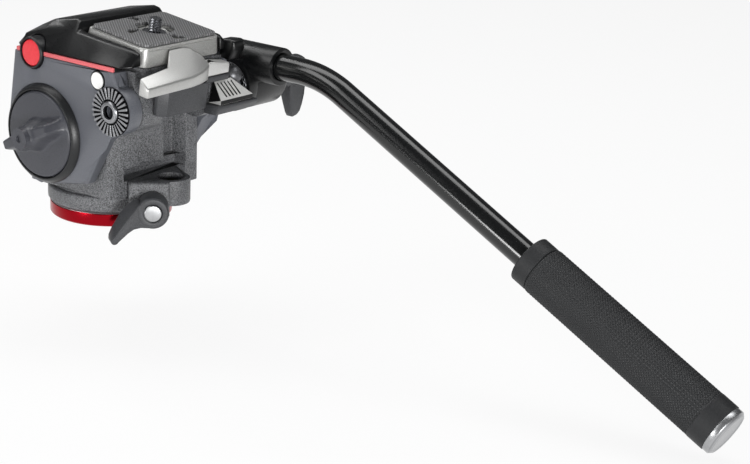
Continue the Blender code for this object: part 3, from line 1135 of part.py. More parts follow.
def make_lever_housing():
    outline = [(HOUSING_LEFT, HOUSING_NECK_STEP), (HOUSING_LEFT, HOUSING_REAR + PLATE_CORNER),
               (HOUSING_LEFT + PLATE_CORNER, HOUSING_REAR), (HOUSING_RIGHT - PLATE_CORNER, HOUSING_REAR),
               (HOUSING_RIGHT, HOUSING_REAR + PLATE_CORNER), (HOUSING_RIGHT, HOUSING_FRONT),
               (HOUSING_NECK_LEFT, HOUSING_FRONT), (HOUSING_NECK_LEFT, HOUSING_NECK_STEP)]
    shape = prism(outline, "z", HOUSING_BOTTOM, HOUSING_TOP)
    housing = hang(make("lever_housing", shape, "black_casting"), "deck_frame", local=True)
    neck_low = (HOUSING_NECK_LEFT, PLATE_REAR + GAP + GAP, HOUSING_BOTTOM)
    neck_high = (HOUSING_RIGHT, HOUSING_FRONT, SADDLE_BOTTOM - GAP)
    add(housing, "deck_frame", "housing_neck", block(neck_low, neck_high), local=True)
    shelf_low = (HOUSING_RIGHT - OVERRUN, CATCH_REAR, SHELF_TOP - SHELF_THICKNESS)
    shelf_high = (CATCH_RIGHT, CATCH_FRONT, SHELF_TOP)
    add(housing, "deck_frame", "catch_shelf", block(shelf_low, shelf_high), local=True)
    pin_base = (LEVER_PIN_X, LEVER_PIN_Y, HOUSING_BOTTOM - OVERRUN)
    bore_length = HOUSING_TOP - HOUSING_BOTTOM + OVERRUN + OVERRUN
    bore = rod(LEVER_PIN_RADIUS + GAP, pin_base, ALONG_Z, bore_length, TINY_SIDES)
    cut(housing, "deck_frame", "housing_bore", bore, local=True)
    pocket_radius = LEVER_SPRING_RADIUS + LEVER_SPRING_WIRE_RADIUS + GAP
    pocket_floor = HOUSING_TOP - LEVER_SPRING_DEPTH
    pocket = rod(pocket_radius, (LEVER_PIN_X, LEVER_PIN_Y, pocket_floor), ALONG_Z,
                 LEVER_SPRING_DEPTH + OVERRUN, SMALL_SIDES)
    cut(housing, "deck_frame", "spring_pocket", pocket, local=True)

    pin_start = (LEVER_PIN_X, LEVER_PIN_Y, HOUSING_BOTTOM + GAP)
    pin_length = LEVER_PIN_TOP - HOUSING_BOTTOM - GAP
    pin = rod(LEVER_PIN_RADIUS, pin_start, ALONG_Z, pin_length, TINY_SIDES)
    hang(make("lever_pin", pin, "steel"), "deck_frame", local=True)
    rest = pocket_floor + GAP + LEVER_SPRING_WIRE_RADIUS
    spring = wound(LEVER_SPRING_RADIUS, LEVER_SPRING_WIRE_RADIUS, LEVER_SPRING_TURNS, LEVER_SPRING_PITCH,
                   TINY_SIDES, (LEVER_PIN_X, LEVER_PIN_Y, rest), ALONG_Z)
    hang(make("lever_spring", spring, "spring_steel"), "deck_frame", local=True)


def make_safety_catch():
    width = CATCH_RIGHT - CATCH_LEFT
    slope = (CATCH_TOP - CATCH_BOTTOM) / 2
    outline = [(CATCH_LEFT, CATCH_BOTTOM), (CATCH_RIGHT, CATCH_BOTTOM),
               (CATCH_RIGHT, CATCH_TOP - slope / 2), (CATCH_LEFT + width / 3, CATCH_TOP),
               (CATCH_LEFT, CATCH_TOP)]
    shape = prism(outline, "y", CATCH_REAR, CATCH_FRONT)
    soften(shape, EDGE_BREAK, lies_at(CATCH_REAR, GAP, 1), 1)
    hang(make("safety_catch", shape, "silver_casting"), "catch_frame", local=True)


def make_selector():
    seat = SELECTOR_SEAT_Z
    front_outline = [(SELECTOR_TOP_LEFT, SELECTOR_TOP_Z), (SELECTOR_TOP_RIGHT, SELECTOR_TOP_Z),
                     (SELECTOR_RIGHT, seat), (SELECTOR_LEFT, seat)]
    rear_outline = [(SELECTOR_LEFT, SELECTOR_NOSE_Z), (SELECTOR_RIGHT, SELECTOR_NOSE_Z),
                    (SELECTOR_RIGHT, seat), (SELECTOR_LEFT, seat)]
    front = [(x, SELECTOR_FRONT_Y, z) for x, z in front_outline]
    rear = [(x, SELECTOR_REAR_Y, z) for x, z in rear_outline]
    selector = hang(make("drag_selector", loft([front, rear]), "silver_casting"), "selector_frame")
    pitch = (SELECTOR_TOP_RIGHT - SELECTOR_TOP_LEFT) / RIB_COUNT
    groove = pitch * RIB_GROOVE_SHARE
    run = SELECTOR_FRONT_Y - SELECTOR_REAR_Y
    rise = SELECTOR_TOP_Z - SELECTOR_NOSE_Z
    slope = rise / run
    for number in range(RIB_COUNT):
        middle = SELECTOR_TOP_LEFT + pitch * (number + 1 / 2)
        low_y = SELECTOR_REAR_Y + run / 6
        high_y = SELECTOR_FRONT_Y - run / 6
        low_z = SELECTOR_NOSE_Z + slope * run / 6 - RIB_DEPTH
        high_z = SELECTOR_TOP_Z - slope * run / 6 - RIB_DEPTH
        section = [(low_y, low_z), (high_y, high_z), (high_y, high_z + RIB_DEPTH + OVERRUN),
                   (low_y, low_z + RIB_DEPTH + OVERRUN)]
        cut(selector, "selector_frame", "selector_groove_%d" % number,
            prism(section, "x", middle - groove / 2, middle + groove / 2))
    margin = SELECTOR_BASE_MARGIN
    top = seat - GAP
    lip = margin / 2
    front_face = ROSETTE_Y - ROSETTE_RADIUS - GAP
    side_view = [(SELECTOR_REAR_Y - lip, top), (SELECTOR_REAR_Y - lip, top - lip),
                 (SELECTOR_REAR_Y + lip, SELECTOR_BASE_BOTTOM), (front_face, SELECTOR_BASE_BOTTOM),
                 (front_face, top)]
    shape = prism(side_view, "x", SELECTOR_LEFT - margin, SELECTOR_RIGHT + margin)
    hang(make("selector_base", shape, "black_polymer"), "tilt_frame")

    outward = Vector((0, math.cos(BOSS_ANGLE), math.sin(BOSS_ANGLE)))
    start = Vector((BOSS_X, ROSETTE_Y, ROSETTE_Z)) + outward * (ROSETTE_RADIUS + GAP)
    dome = [(0, 0)] + arc((0, 0), BOSS_RADIUS, 0, math.pi / 2, ARC_STEPS // 2)
    dome = [(radius, height * BOSS_HEIGHT / BOSS_RADIUS) for radius, height in dome]
    dome[-1] = (0, BOSS_HEIGHT)
    hang(make("selector_boss", turned(dome, start, outward, SMALL_SIDES), "steel"), "tilt_frame")


# Pan bar

def make_clamp():
    start_x = ROSETTE_SEAT + ROSETTE_THICKNESS + TOOTH_HEIGHT + GAP + TOOTH_HEIGHT + ROSETTE_THICKNESS + GAP
    length = CLAMP_END - start_x
    barrel = [(0, 0), (CLAMP_BARREL_RADIUS, 0), (CLAMP_BARREL_RADIUS, length - CLAMP_ROUND),
              (CLAMP_BARREL_RADIUS - CLAMP_ROUND / 3, length - CLAMP_ROUND / 3),
              (CLAMP_BARREL_RADIUS - CLAMP_ROUND, length), (0, length)]
    shape = turned(barrel, ROSETTE_AXIS + ALONG_X * start_x, ALONG_X)
    clamp = hang(make("bar_clamp", shape, "black_casting"), "bar_frame")
    sleeve_start = (SLEEVE_X, SLEEVE_REAR_Y, SLEEVE_Z)
    sleeve_length = SLEEVE_FRONT_Y - SLEEVE_REAR_Y
    add(clamp, "bar_frame", "clamp_sleeve", rod(SLEEVE_RADIUS, sleeve_start, ALONG_Y, sleeve_length))
    bore_start = (SLEEVE_X, SLEEVE_REAR_Y - OVERRUN, SLEEVE_Z)
    bore_length = sleeve_length + OVERRUN + OVERRUN
    cut(clamp, "bar_frame", "sleeve_bore", rod(BAR_RADIUS + GAP, bore_start, ALONG_Y, bore_length))
    hub_room = ROSETTE_HUB_FACE + GAP - start_x
    hub_start = ROSETTE_AXIS + ALONG_X * (start_x - OVERRUN)
    hub_hole = rod(ROSETTE_INNER_RADIUS, hub_start, ALONG_X, hub_room + OVERRUN, SMALL_SIDES)
    cut(clamp, "bar_frame", "clamp_hub_room", hub_hole)
    bolt_reach = length + OVERRUN + OVERRUN
    bolt_hole = rod(CLAMP_BOLT_RADIUS + GAP, hub_start, ALONG_X, bolt_reach, TINY_SIDES)
    cut(clamp, "bar_frame", "clamp_bolt_bore", bolt_hole)
    rosette("clamp_rosette", 0, "steel", "bar_frame", start_x - GAP, -1)
    bolt_start = ROSETTE_AXIS + ALONG_X * CLAMP_BOLT_START
    bolt_length = CLAMP_END + CLAMP_KNOB_LENGTH / 2 - CLAMP_BOLT_START
    bolt = rod(CLAMP_BOLT_RADIUS, bolt_start, ALONG_X, bolt_length, TINY_SIDES)
    hang(make("clamp_bolt", bolt, "steel"), "bar_frame")

    knob_start = CLAMP_END + GAP
    hub = [(0, 0), (CLAMP_KNOB_RADIUS - EDGE_BREAK, 0), (CLAMP_KNOB_RADIUS, EDGE_BREAK),
           (CLAMP_KNOB_RADIUS, CLAMP_KNOB_LENGTH - CLAMP_ROUND / 2),
           (CLAMP_KNOB_RADIUS - CLAMP_ROUND / 2, CLAMP_KNOB_LENGTH), (0, CLAMP_KNOB_LENGTH)]
    hub_shape = turned(hub, ROSETTE_AXIS + ALONG_X * knob_start, ALONG_X, SMALL_SIDES)
    knob = hang(make("clamp_knob", hub_shape, "black_polymer"), "knob_frame")
    outer_end = knob_start + CLAMP_KNOB_LENGTH - EDGE_BREAK
    blade_root = (0, CLAMP_BLADE_LENGTH, CLAMP_BLADE_HALF_DEPTH)
    blade_tip = (CLAMP_BLADE_DROP, CLAMP_BLADE_TIP_LENGTH, CLAMP_BLADE_TIP_HALF_DEPTH)
    sections = []
    for drop, blade_length, half_depth in (blade_root, blade_tip):
        inner_end = outer_end - blade_length
        z = ROSETTE_Z - drop
        sections.append([(inner_end, ROSETTE_Y - half_depth, z), (outer_end, ROSETTE_Y - half_depth, z),
                         (outer_end, ROSETTE_Y + half_depth, z), (inner_end, ROSETTE_Y + half_depth, z)])
    blade = loft(sections)
    soften(blade, EDGE_BREAK, lambda edge: True, 1)
    add(knob, "knob_frame", "clamp_blade", blade)
    socket_start = ROSETTE_AXIS + ALONG_X * (knob_start - OVERRUN)
    socket_length = CLAMP_KNOB_LENGTH / 2 + OVERRUN + GAP
    socket = rod(CLAMP_BOLT_RADIUS + GAP, socket_start, ALONG_X, socket_length, TINY_SIDES)
    cut(knob, "knob_frame", "clamp_knob_socket", socket)


def bar_path():
    """Points and angles along the bar's centre line, its corner, and the direction of its grip part."""
    tangent = BAR_BEND_RADIUS * math.tan(BAR_BEND_ANGLE / 2)
    bend_start = BAR_BEND_Y + tangent
    centre_z = SLEEVE_Z - BAR_BEND_RADIUS
    bend = []
    for step in range(BAR_BEND_STEPS + 1):
        angle = BAR_BEND_ANGLE * step / BAR_BEND_STEPS
        bend.append((Vector((SLEEVE_X, bend_start - BAR_BEND_RADIUS * math.sin(angle),
                             centre_z + BAR_BEND_RADIUS * math.cos(angle))), angle))
    direction = Vector((0, -math.cos(BAR_BEND_ANGLE), -math.sin(BAR_BEND_ANGLE)))
    corner = Vector((SLEEVE_X, BAR_BEND_Y, SLEEVE_Z))
    end = corner + direction * (GRIP_START + GRIP_LENGTH - GRIP_CAP_LENGTH - GAP)
    front = Vector((SLEEVE_X, BAR_FRONT_Y, SLEEVE_Z))
    return [(front, 0)] + bend + [(end, BAR_BEND_ANGLE)], corner, direction


def make_bar():
    path, corner, direction = bar_path()
    shape = bmesh.new()
    rings = []
    for radius in (BAR_RADIUS, BAR_RADIUS - BAR_WALL):
        rows = []
        for centre, angle in path:
            upward = Vector((0, -math.sin(angle), math.cos(angle)))
            row = []
            for side in range(BAR_SIDES):
                around = math.tau * side / BAR_SIDES
                row.append(shape.verts.new(centre + ALONG_X * (radius * math.cos(around))
                                           + upward * (radius * math.sin(around))))
            rows.append(row)
        rings.append(rows)
    outer, inner = rings
    loop = outer + inner[::-1] + outer[:1]
    for row, following in zip(loop, loop[1:]):
        for place in range(BAR_SIDES):
            after = (place + 1) % BAR_SIDES
            shape.faces.new((row[place], row[after], following[after], following[place]))
    hang(make("pan_bar", shape, "black_tube"), "sleeve_frame")

    start = corner + direction * GRIP_START
    bore = BAR_RADIUS + GAP
    body_end = GRIP_LENGTH - GRIP_CAP_LENGTH - GAP
    band_start = body_end - GRIP_BAND_LENGTH
    collar_end = GRIP_COLLAR_LENGTH
    groove = GRIP_RADIUS - GRIP_GROOVE
    band_edge = band_start + GRIP_GROOVE
    outline = [(bore, 0), (GRIP_COLLAR_RADIUS - GRIP_GROOVE, 0), (GRIP_COLLAR_RADIUS, GRIP_GROOVE),
               (GRIP_COLLAR_RADIUS, collar_end - GRIP_GROOVE), (groove, collar_end),
               (GRIP_RADIUS, collar_end + GRIP_GROOVE), (GRIP_RADIUS, band_start), (groove, band_edge),
               (GRIP_RADIUS, band_edge + GRIP_GROOVE), (GRIP_RADIUS, body_end), (bore, body_end)]
    hang(make("grip", turned(outline, start, direction), "grip_rubber"), "sleeve_frame")
    cap_start = start + direction * (body_end + GAP)
    plug = BAR_RADIUS - BAR_WALL - GAP
    face = GRIP_CAP_LENGTH
    cap = [(0, -GRIP_PLUG_LENGTH), (plug, -GRIP_PLUG_LENGTH), (plug, 0), (GRIP_RADIUS, 0),
           (GRIP_RADIUS, face - GRIP_CAP_CHAMFER), (GRIP_RADIUS - GRIP_CAP_CHAMFER, face), (0, face)]
    hang(make("grip_cap", turned(cap, cap_start, direction), "silver_casting"), "sleeve_frame")


def make_frames():
    pitch = Matrix.Rotation(DECK_PITCH, 4, "X")
    deck = Matrix.Translation((0, DECK_Y, DECK_Z)) @ pitch
    lock_turn = Matrix.Rotation(LOCK_ANGLE, 4, "Z")
    lock = lock_turn @ Vector((-LOCK_OFFSET, 0, 0)) + ALONG_Z * LOCK_HEIGHT
    frame("base_frame", (0, 0, 0))
    frame("pan_frame", (0, 0, 0), parent="base_frame")
    frame("cotter_frame", lock, lock_turn, "pan_frame")
    frame("lock_frame", lock, lock_turn, "pan_frame")
    frame("tilt_frame", TILT_AXIS, parent="pan_frame")
    frame("deck_frame", deck.translation, pitch, "tilt_frame")
    frame("plate_frame", deck.translation, pitch, "deck_frame")
    frame("screw_frame", deck.translation, pitch, "plate_frame")
    frame("lever_frame", deck @ Vector((LEVER_PIN_X, LEVER_PIN_Y, 0)), pitch, "deck_frame")
    frame("catch_frame", deck.translation, pitch, "deck_frame")
    frame("selector_frame", (SELECTOR_LEFT, SELECTOR_REAR_Y, SELECTOR_SEAT_Z), parent="tilt_frame")
    frame("tilt_knob_frame", TILT_AXIS, parent="tilt_frame")
    frame("bar_frame", ROSETTE_AXIS, parent="tilt_frame")
    frame("knob_frame", ROSETTE_AXIS, parent="bar_frame")
    frame("sleeve_frame", (SLEEVE_X, BAR_FRONT_Y, SLEEVE_Z), parent="bar_frame")


clear_scene()
make_materials()
make_frames()
make_base()
make_pan_body()
make_level()
make_pan_lock()
make_tilt_drive()
make_cheeks()
make_frame_and_rosettes()
make_tilt_lock()
make_trim()
make_bonnet()
make_plate()
make_camera_screw()
make_release_lever()
make_lever_housing()
make_safety_catch()
make_selector()
make_clamp()
make_bar()
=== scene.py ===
import math

import bpy
from mathutils import Matrix, Vector


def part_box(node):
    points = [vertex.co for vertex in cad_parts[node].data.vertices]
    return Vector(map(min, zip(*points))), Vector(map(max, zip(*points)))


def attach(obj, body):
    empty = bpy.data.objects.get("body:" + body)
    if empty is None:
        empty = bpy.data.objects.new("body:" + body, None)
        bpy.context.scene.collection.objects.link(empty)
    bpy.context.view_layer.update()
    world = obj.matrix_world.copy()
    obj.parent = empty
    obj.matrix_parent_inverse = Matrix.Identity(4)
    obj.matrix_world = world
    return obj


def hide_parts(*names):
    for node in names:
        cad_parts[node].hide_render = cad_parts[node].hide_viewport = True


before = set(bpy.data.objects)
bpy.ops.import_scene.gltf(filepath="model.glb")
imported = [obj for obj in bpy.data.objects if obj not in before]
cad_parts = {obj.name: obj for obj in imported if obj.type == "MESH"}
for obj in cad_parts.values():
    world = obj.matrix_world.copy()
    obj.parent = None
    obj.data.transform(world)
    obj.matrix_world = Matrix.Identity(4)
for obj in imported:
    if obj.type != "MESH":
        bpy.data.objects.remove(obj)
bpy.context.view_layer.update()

scene = bpy.context.scene

# The photographer's set: a table of white paper in a white room, lit by a long soft box overhead, a low soft
# box and a soft key at the left, a key behind the camera and a narrow strip at the far side. The stand under
# the head isn't shown, so the table lies just under the end of the grip.

def linear(hex_code):
    """Turns an sRGB hex colour into the linear one that shaders take."""
    channels = [int(hex_code[start:start + 2], 16) / 255 for start in (1, 3, 5)]
    return tuple(c / 12.92 if c <= 0.04045 else ((c + 0.055) / 1.055) ** 2.4 for c in channels) + (1,)


def add_node(tree, kind, settings=None, links=None):
    """Adds one shader node with its settings and what feeds it, a socket or a node's first output."""
    new = tree.nodes.new("ShaderNode" + kind)
    for name, value in (settings or {}).items():
        if isinstance(name, int) or name in new.inputs:
            new.inputs[name].default_value = value
        else:
            setattr(new, name, value)
    for name, source in (links or {}).items():
        socket = source if isinstance(source, bpy.types.NodeSocket) else source.outputs[0]
        tree.links.new(socket, new.inputs[name])
    return new


def empty_material(name):
    """A material with no nodes yet, and its tree."""
    material = bpy.data.materials.new(name)
    material.use_nodes = True
    material.node_tree.nodes.clear()
    return material, material.node_tree


def deselect_all():
    """Leaves edit mode and selects nothing."""
    if bpy.context.mode != "OBJECT":
        bpy.ops.object.mode_set(mode="OBJECT")
    bpy.ops.object.select_all(action="DESELECT")


CAMERA_PLACE = Vector((-0.6035, -0.6197, 0.2714))
CAMERA_HEADING = math.radians(53.0)
CAMERA_PITCH = math.radians(17.99)
CAMERA_ROLL = math.radians(2.54)
ahead = Vector((math.sin(CAMERA_HEADING) * math.cos(CAMERA_PITCH),
                math.cos(CAMERA_HEADING) * math.cos(CAMERA_PITCH), -math.sin(CAMERA_PITCH)))
level_right = Vector((math.cos(CAMERA_HEADING), -math.sin(CAMERA_HEADING), 0))
level_up = level_right.cross(ahead)
right = level_right * math.cos(CAMERA_ROLL) + level_up * math.sin(CAMERA_ROLL)
upward = level_up * math.cos(CAMERA_ROLL) - level_right * math.sin(CAMERA_ROLL)
lens = bpy.data.cameras.new("product_lens")
lens.sensor_width = 36
lens.lens = 86.4
camera = bpy.data.objects.new("camera", lens)
scene.collection.objects.link(camera)
camera.matrix_world = Matrix((right, upward, -ahead)).transposed().to_4x4()
camera.location = CAMERA_PLACE
scene.camera = camera
scene.view_settings.view_transform = "Standard"

TABLE_TOP = -0.056
TABLE_WIDTH = 6.0
PAPER_SHARE = 0.88
deselect_all()
bpy.ops.mesh.primitive_plane_add(size=TABLE_WIDTH, location=(0, 0, TABLE_TOP))
table = bpy.context.object
table.name = "table"
table.data.transform(Matrix.Translation(table.location))
table.location = (0, 0, 0)
# Uncoated paper, matt with faint fibres. For rays that look at it, it is nearly white by itself.
paper, tree = empty_material("white_seamless_paper")
coordinates = add_node(tree, "TexCoord")
fibres = add_node(tree, "TexNoise", {"Scale": 900, "Detail": 3}, {"Vector": coordinates.outputs["Object"]})
tint = add_node(tree, "ValToRGB", links={"Fac": fibres})
tint.color_ramp.elements[0].color = linear("#f6f6f6")
tint.color_ramp.elements[1].color = linear("#fcfcfc")
sheet = add_node(tree, "BsdfPrincipled", {"Roughness": 0.9, "Specular IOR Level": 0.1}, {"Base Color": tint})
glow = add_node(tree, "Emission", {"Color": (1, 1, 1, 1), "Strength": 1.0})
path = add_node(tree, "LightPath")
shown_rays = add_node(tree, "Math", {"operation": "MAXIMUM"},
                      {0: path.outputs["Is Camera Ray"], 1: path.outputs["Is Transmission Ray"]})
all_rays = add_node(tree, "Math", {"operation": "MAXIMUM"},
                    {0: shown_rays, 1: path.outputs["Is Glossy Ray"]})
seen = add_node(tree, "MapRange", {"To Max": PAPER_SHARE}, {"Value": all_rays})
blend = add_node(tree, "MixShader", links={0: seen, 1: sheet, 2: glow})
add_node(tree, "OutputMaterial", links={"Surface": blend})
table.data.materials.append(paper)

# The room: dim and grey for the object, white for the camera, and only a little white in reflections
MIRRORED_SHARE = 0.06
world = bpy.data.worlds.new("studio")
scene.world = world
world.use_nodes = True
tree = world.node_tree
tree.nodes.clear()
path = add_node(tree, "LightPath")
mirrored = add_node(tree, "MapRange", {"To Max": MIRRORED_SHARE}, {"Value": path.outputs["Is Glossy Ray"]})
passed = add_node(tree, "Math", {"operation": "MAXIMUM"},
                  {0: mirrored, 1: path.outputs["Is Transmission Ray"]})
white_share = add_node(tree, "Math", {"operation": "MAXIMUM"},
                       {0: passed, 1: path.outputs["Is Camera Ray"]})
room = add_node(tree, "Background", {"Color": linear("#a9acb0"), "Strength": 0.15})
backdrop = add_node(tree, "Background", {"Color": (1, 1, 1, 1), "Strength": 1.0})
shown = add_node(tree, "MixShader", links={0: white_share, 1: room, 2: backdrop})
add_node(tree, "OutputWorld", links={"Surface": shown})

HEAD_MIDDLE = Vector((0.0, -0.06, 0.05))
for name, place, width, height, power in (("overhead_box", (0.15, 0.04, 1.05), 1.6, 0.46, 8.5),
                                          ("left_box", (-0.95, 0.08, 0.08), 0.16, 0.24, 2.5),
                                          ("left_key", (-0.75, 0.32, 0.75), 0.5, 0.5, 3),
                                          ("rear_key", (-0.66, -1.10, 0.12), 0.5, 0.3, 12),
                                          ("far_strip", (0.20, 1.00, 0.95), 0.16, 0.6, 2.5)):
    light = bpy.data.lights.new(name, "AREA")
    light.shape = "RECTANGLE"
    light.size = width
    light.size_y = height
    light.energy = power
    lamp = bpy.data.objects.new(name, light)
    scene.collection.objects.link(lamp)
    aim = (HEAD_MIDDLE - Vector(place)).to_track_quat("-Z", "Y").to_matrix().to_4x4()
    lamp.matrix_world = Matrix.Translation(place) @ aim


# Base ring: the red foot of the head, turned from aluminium bar, anodised red, with its top edge cut
# bright after the dye and a painted highlight along that edge. It is pressed round the hub's disc.

WAVE_SCALE = math.tau / 20  # a wave texture's scale for bands one metre apart


def finish(tree, settings, links, height=None, depth=0):
    """Ends a material with its shader, which takes its relief from a height."""
    if height:
        links["Normal"] = add_node(tree, "Bump", {"Distance": depth}, {"Height": height})
    shader = add_node(tree, "BsdfPrincipled", settings, links)
    add_node(tree, "OutputMaterial", links={"Surface": shader})


def machined(name, colour, dark_colour, roughness, axis, centre, pitch=0.0010, depth=0.00001, tilt=0.0):
    """Turned or drawn metal: tool rings round one axis through a point, in tone, gloss and height. Real tool
    rings are about 0.1 mm apart: they are drawn 1 mm apart, so that they show."""
    material, tree = empty_material(name)
    place = add_node(tree, "TexCoord").outputs["Object"]
    moved = Matrix.Rotation(tilt, 3, "X") @ Vector(centre)
    centred = add_node(tree, "Mapping", {"Rotation": (tilt, 0, 0), "Location": -moved}, {"Vector": place})
    rings = add_node(tree, "TexWave", {"wave_type": "RINGS", "rings_direction": axis,
                                       "Scale": WAVE_SCALE / pitch, "Distortion": 1.2, "Detail": 2,
                                       "Detail Scale": 4},
                     {"Vector": centred})
    smear = add_node(tree, "TexNoise", {"Scale": 160, "Detail": 4}, {"Vector": place})
    tone = add_node(tree, "Math", {"operation": "MULTIPLY"}, {0: rings.outputs["Fac"], 1: smear})
    mix = add_node(tree, "Mix", {"data_type": "RGBA", 6: linear(dark_colour), 7: linear(colour)}, {0: tone})
    gloss = add_node(tree, "MapRange", {"To Min": roughness - 0.06, "To Max": roughness + 0.10},
                     {"Value": tone})
    finish(tree, {"Metallic": 1.0}, {"Base Color": mix.outputs[2], "Roughness": gloss}, rings.outputs["Fac"],
           depth)
    return material


def second_colour(material, colour, mask):
    """Lays a second colour over a finish, where a mask built from its own tree says so."""
    tree = material.node_tree
    shader = next(node for node in tree.nodes if node.bl_idname == "ShaderNodeBsdfPrincipled")
    under = shader.inputs["Base Color"].links[0].from_socket
    over = add_node(tree, "Mix", {"data_type": "RGBA", 7: linear(colour)}, {0: mask(tree), 6: under})
    tree.links.new(over.outputs[2], shader.inputs["Base Color"])


def pick(piece):
    """Makes one piece the active one, with nothing else selected."""
    deselect_all()
    piece.select_set(True)
    bpy.context.view_layer.objects.active = piece


def apply_modifier(piece, kind, settings):
    """Adds one modifier and applies it to the mesh."""
    pick(piece)
    step = piece.modifiers.new(kind.lower(), kind)
    for name, value in settings.items():
        setattr(step, name, value)
    bpy.ops.object.modifier_apply(modifier=step.name)


def bevel_edges(piece, width, segments, degrees):
    """Rounds the edges whose two faces turn by more than an angle."""
    apply_modifier(piece, "BEVEL", {"width": width, "segments": segments, "limit_method": "ANGLE",
                                    "angle_limit": math.radians(degrees)})


def edit_all():
    """Enters edit mode with the whole mesh selected."""
    bpy.ops.object.mode_set(mode="EDIT")
    bpy.ops.mesh.select_all(action="SELECT")


def closed_line(name, points, fill):
    """A closed line through points, in edit mode and selected."""
    deselect_all()
    bpy.ops.mesh.primitive_circle_add(vertices=len(points), fill_type=fill)
    piece = bpy.context.object
    piece.name = name
    for vertex, point in zip(piece.data.vertices, points):
        vertex.co = point
    edit_all()
    return piece


def close_skin():
    """Merges doubles, turns the faces outwards and leaves edit mode."""
    bpy.ops.mesh.select_all(action="SELECT")
    bpy.ops.mesh.remove_doubles(threshold=0.000005)
    bpy.ops.mesh.delete_loose(use_verts=True, use_edges=True, use_faces=False)
    bpy.ops.mesh.select_all(action="SELECT")
    bpy.ops.mesh.normals_make_consistent(inside=False)
    bpy.ops.object.mode_set(mode="OBJECT")


def settle(piece, material, body, replaced, smooth=35):
    """Gives a finished piece its shading, its material and its body, and the node it stands for."""
    pick(piece)
    piece.data.transform(piece.matrix_world)
    piece.matrix_world = Matrix.Identity(4)
    bpy.ops.object.shade_smooth_by_angle(angle=math.radians(smooth))
    piece.data.materials.clear()
    piece.data.materials.append(material)
    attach(piece, body)
    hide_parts(replaced)


def turned_piece(name, outline, start, direction, sides=96, bevel=0.0002):
    """A lathe-turned piece: its half outline of radius and height is spun round an axis."""
    piece = closed_line(name, [(radius, 0, height) for radius, height in outline], "NOTHING")
    bpy.ops.mesh.spin(steps=sides, angle=math.tau, center=(0, 0, 0), axis=(0, 0, 1))
    close_skin()
    turn = Vector(direction).to_track_quat("Z", "Y").to_matrix().to_4x4()
    piece.data.transform(Matrix.Translation(start) @ turn)
    if bevel:
        bevel_edges(piece, bevel, 2, 30)
    return piece


ALONG_Z = Vector((0, 0, 1))
HUB_CLEARANCE = 0.0003
RING_CHAMFER = 0.0007
EDGE_LINE_AND_HIGHLIGHT = 0.0005
ring_low, ring_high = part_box("base_ring")
ring_radius = ring_high.x
ring_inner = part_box("base_hub")[1].x + HUB_CLEARANCE
ring_outline = [(ring_inner, ring_low.z), (ring_radius - RING_CHAMFER, ring_low.z),
                (ring_radius, ring_low.z + RING_CHAMFER), (ring_radius, ring_high.z - RING_CHAMFER),
                (ring_radius - RING_CHAMFER, ring_high.z), (ring_inner, ring_high.z)]


def on_cut_edge_and_highlight(tree):
    """One above the height where the ring's dye is cut away and a highlight is painted along the edge."""
    place = add_node(tree, "SeparateXYZ", links={"Vector": add_node(tree, "TexCoord").outputs["Object"]})
    return add_node(tree, "Math", {"operation": "GREATER_THAN", 1: ring_high.z - EDGE_LINE_AND_HIGHLIGHT},
                    {0: place.outputs["Z"]})


# Dyed anodising: deep red with a metal's highlight, and a thin pale line along the top edge, partly the bare
# cut edge and partly a painted highlight
red_anodised = machined("turned_aluminium_anodised_red", "#c01c28", "#98101c", 0.30, "Z", (0, 0, 0))
second_colour(red_anodised, "#e6dcdc", on_cut_edge_and_highlight)
ring = turned_piece("red_base_ring", ring_outline, (0, 0, 0), ALONG_Z, 128, 0.00015)
settle(ring, red_anodised, "base", "base_ring")

# Underside of the base: a turned aluminium hub disc with a brass thread bush, and the pan spindle, its
# nut and the drag washer inside. They are machined parts with tool rings, seen only from below.

BORE_MARGIN = 0.0022
SHARP_ANGLE = math.radians(34)


def rounded_copy(name, cad_node, width, segments=2, spare=None):
    """A merged copy of a node's mesh with its sharp edges rounded as on the real part. The edges of a bore
    for the node named in spare keep their size."""
    piece = bpy.data.objects.new(name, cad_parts[cad_node].data.copy())
    scene.collection.objects.link(piece)
    pick(piece)
    if piece.data.has_custom_normals:
        bpy.ops.mesh.customdata_custom_splitnormals_clear()
    edit_all()
    bpy.ops.mesh.remove_doubles(threshold=0.000005)
    bpy.ops.mesh.dissolve_limited(angle_limit=math.radians(0.6))
    bpy.ops.object.mode_set(mode="OBJECT")
    if spare:
        spare_low, spare_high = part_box(spare)
        axis = (spare_low + spare_high) / 2
        reach = (spare_high.x - spare_low.x) / 2 + BORE_MARGIN
        weights = piece.data.attributes.new("bevel_weight_edge", "FLOAT", "EDGE")
        sides_of = [[] for edge in piece.data.edges]
        numbers = {edge.key: edge.index for edge in piece.data.edges}
        for face in piece.data.polygons:
            for key in face.edge_keys:
                sides_of[numbers[key]].append(face.normal)
        for edge in piece.data.edges:
            ends = (piece.data.vertices[end].co for end in edge.vertices)
            far = all(math.hypot(end.x - axis.x, end.y - axis.y) > reach for end in ends)
            sides = sides_of[edge.index]
            weights.data[edge.index].value = float(
                far and len(sides) == 2 and sides[0].angle(sides[1], 0) > SHARP_ANGLE)
    if width:
        apply_modifier(piece, "BEVEL", {"width": width, "segments": segments, "use_clamp_overlap": False,
                                        "limit_method": "WEIGHT" if spare else "ANGLE",
                                        "angle_limit": SHARP_ANGLE})
    return piece


def dress(name, cad_node, width, material, body, smooth=35, segments=2, spare=None):
    """A rounded copy of a node, settled in the node's place."""
    settle(rounded_copy(name, cad_node, width, segments, spare), material, body, cad_node, smooth)


def repaint(cad_node, material):
    """Gives a node whose shape stays a better material."""
    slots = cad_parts[cad_node].data.materials
    slots.clear()
    slots.append(material)


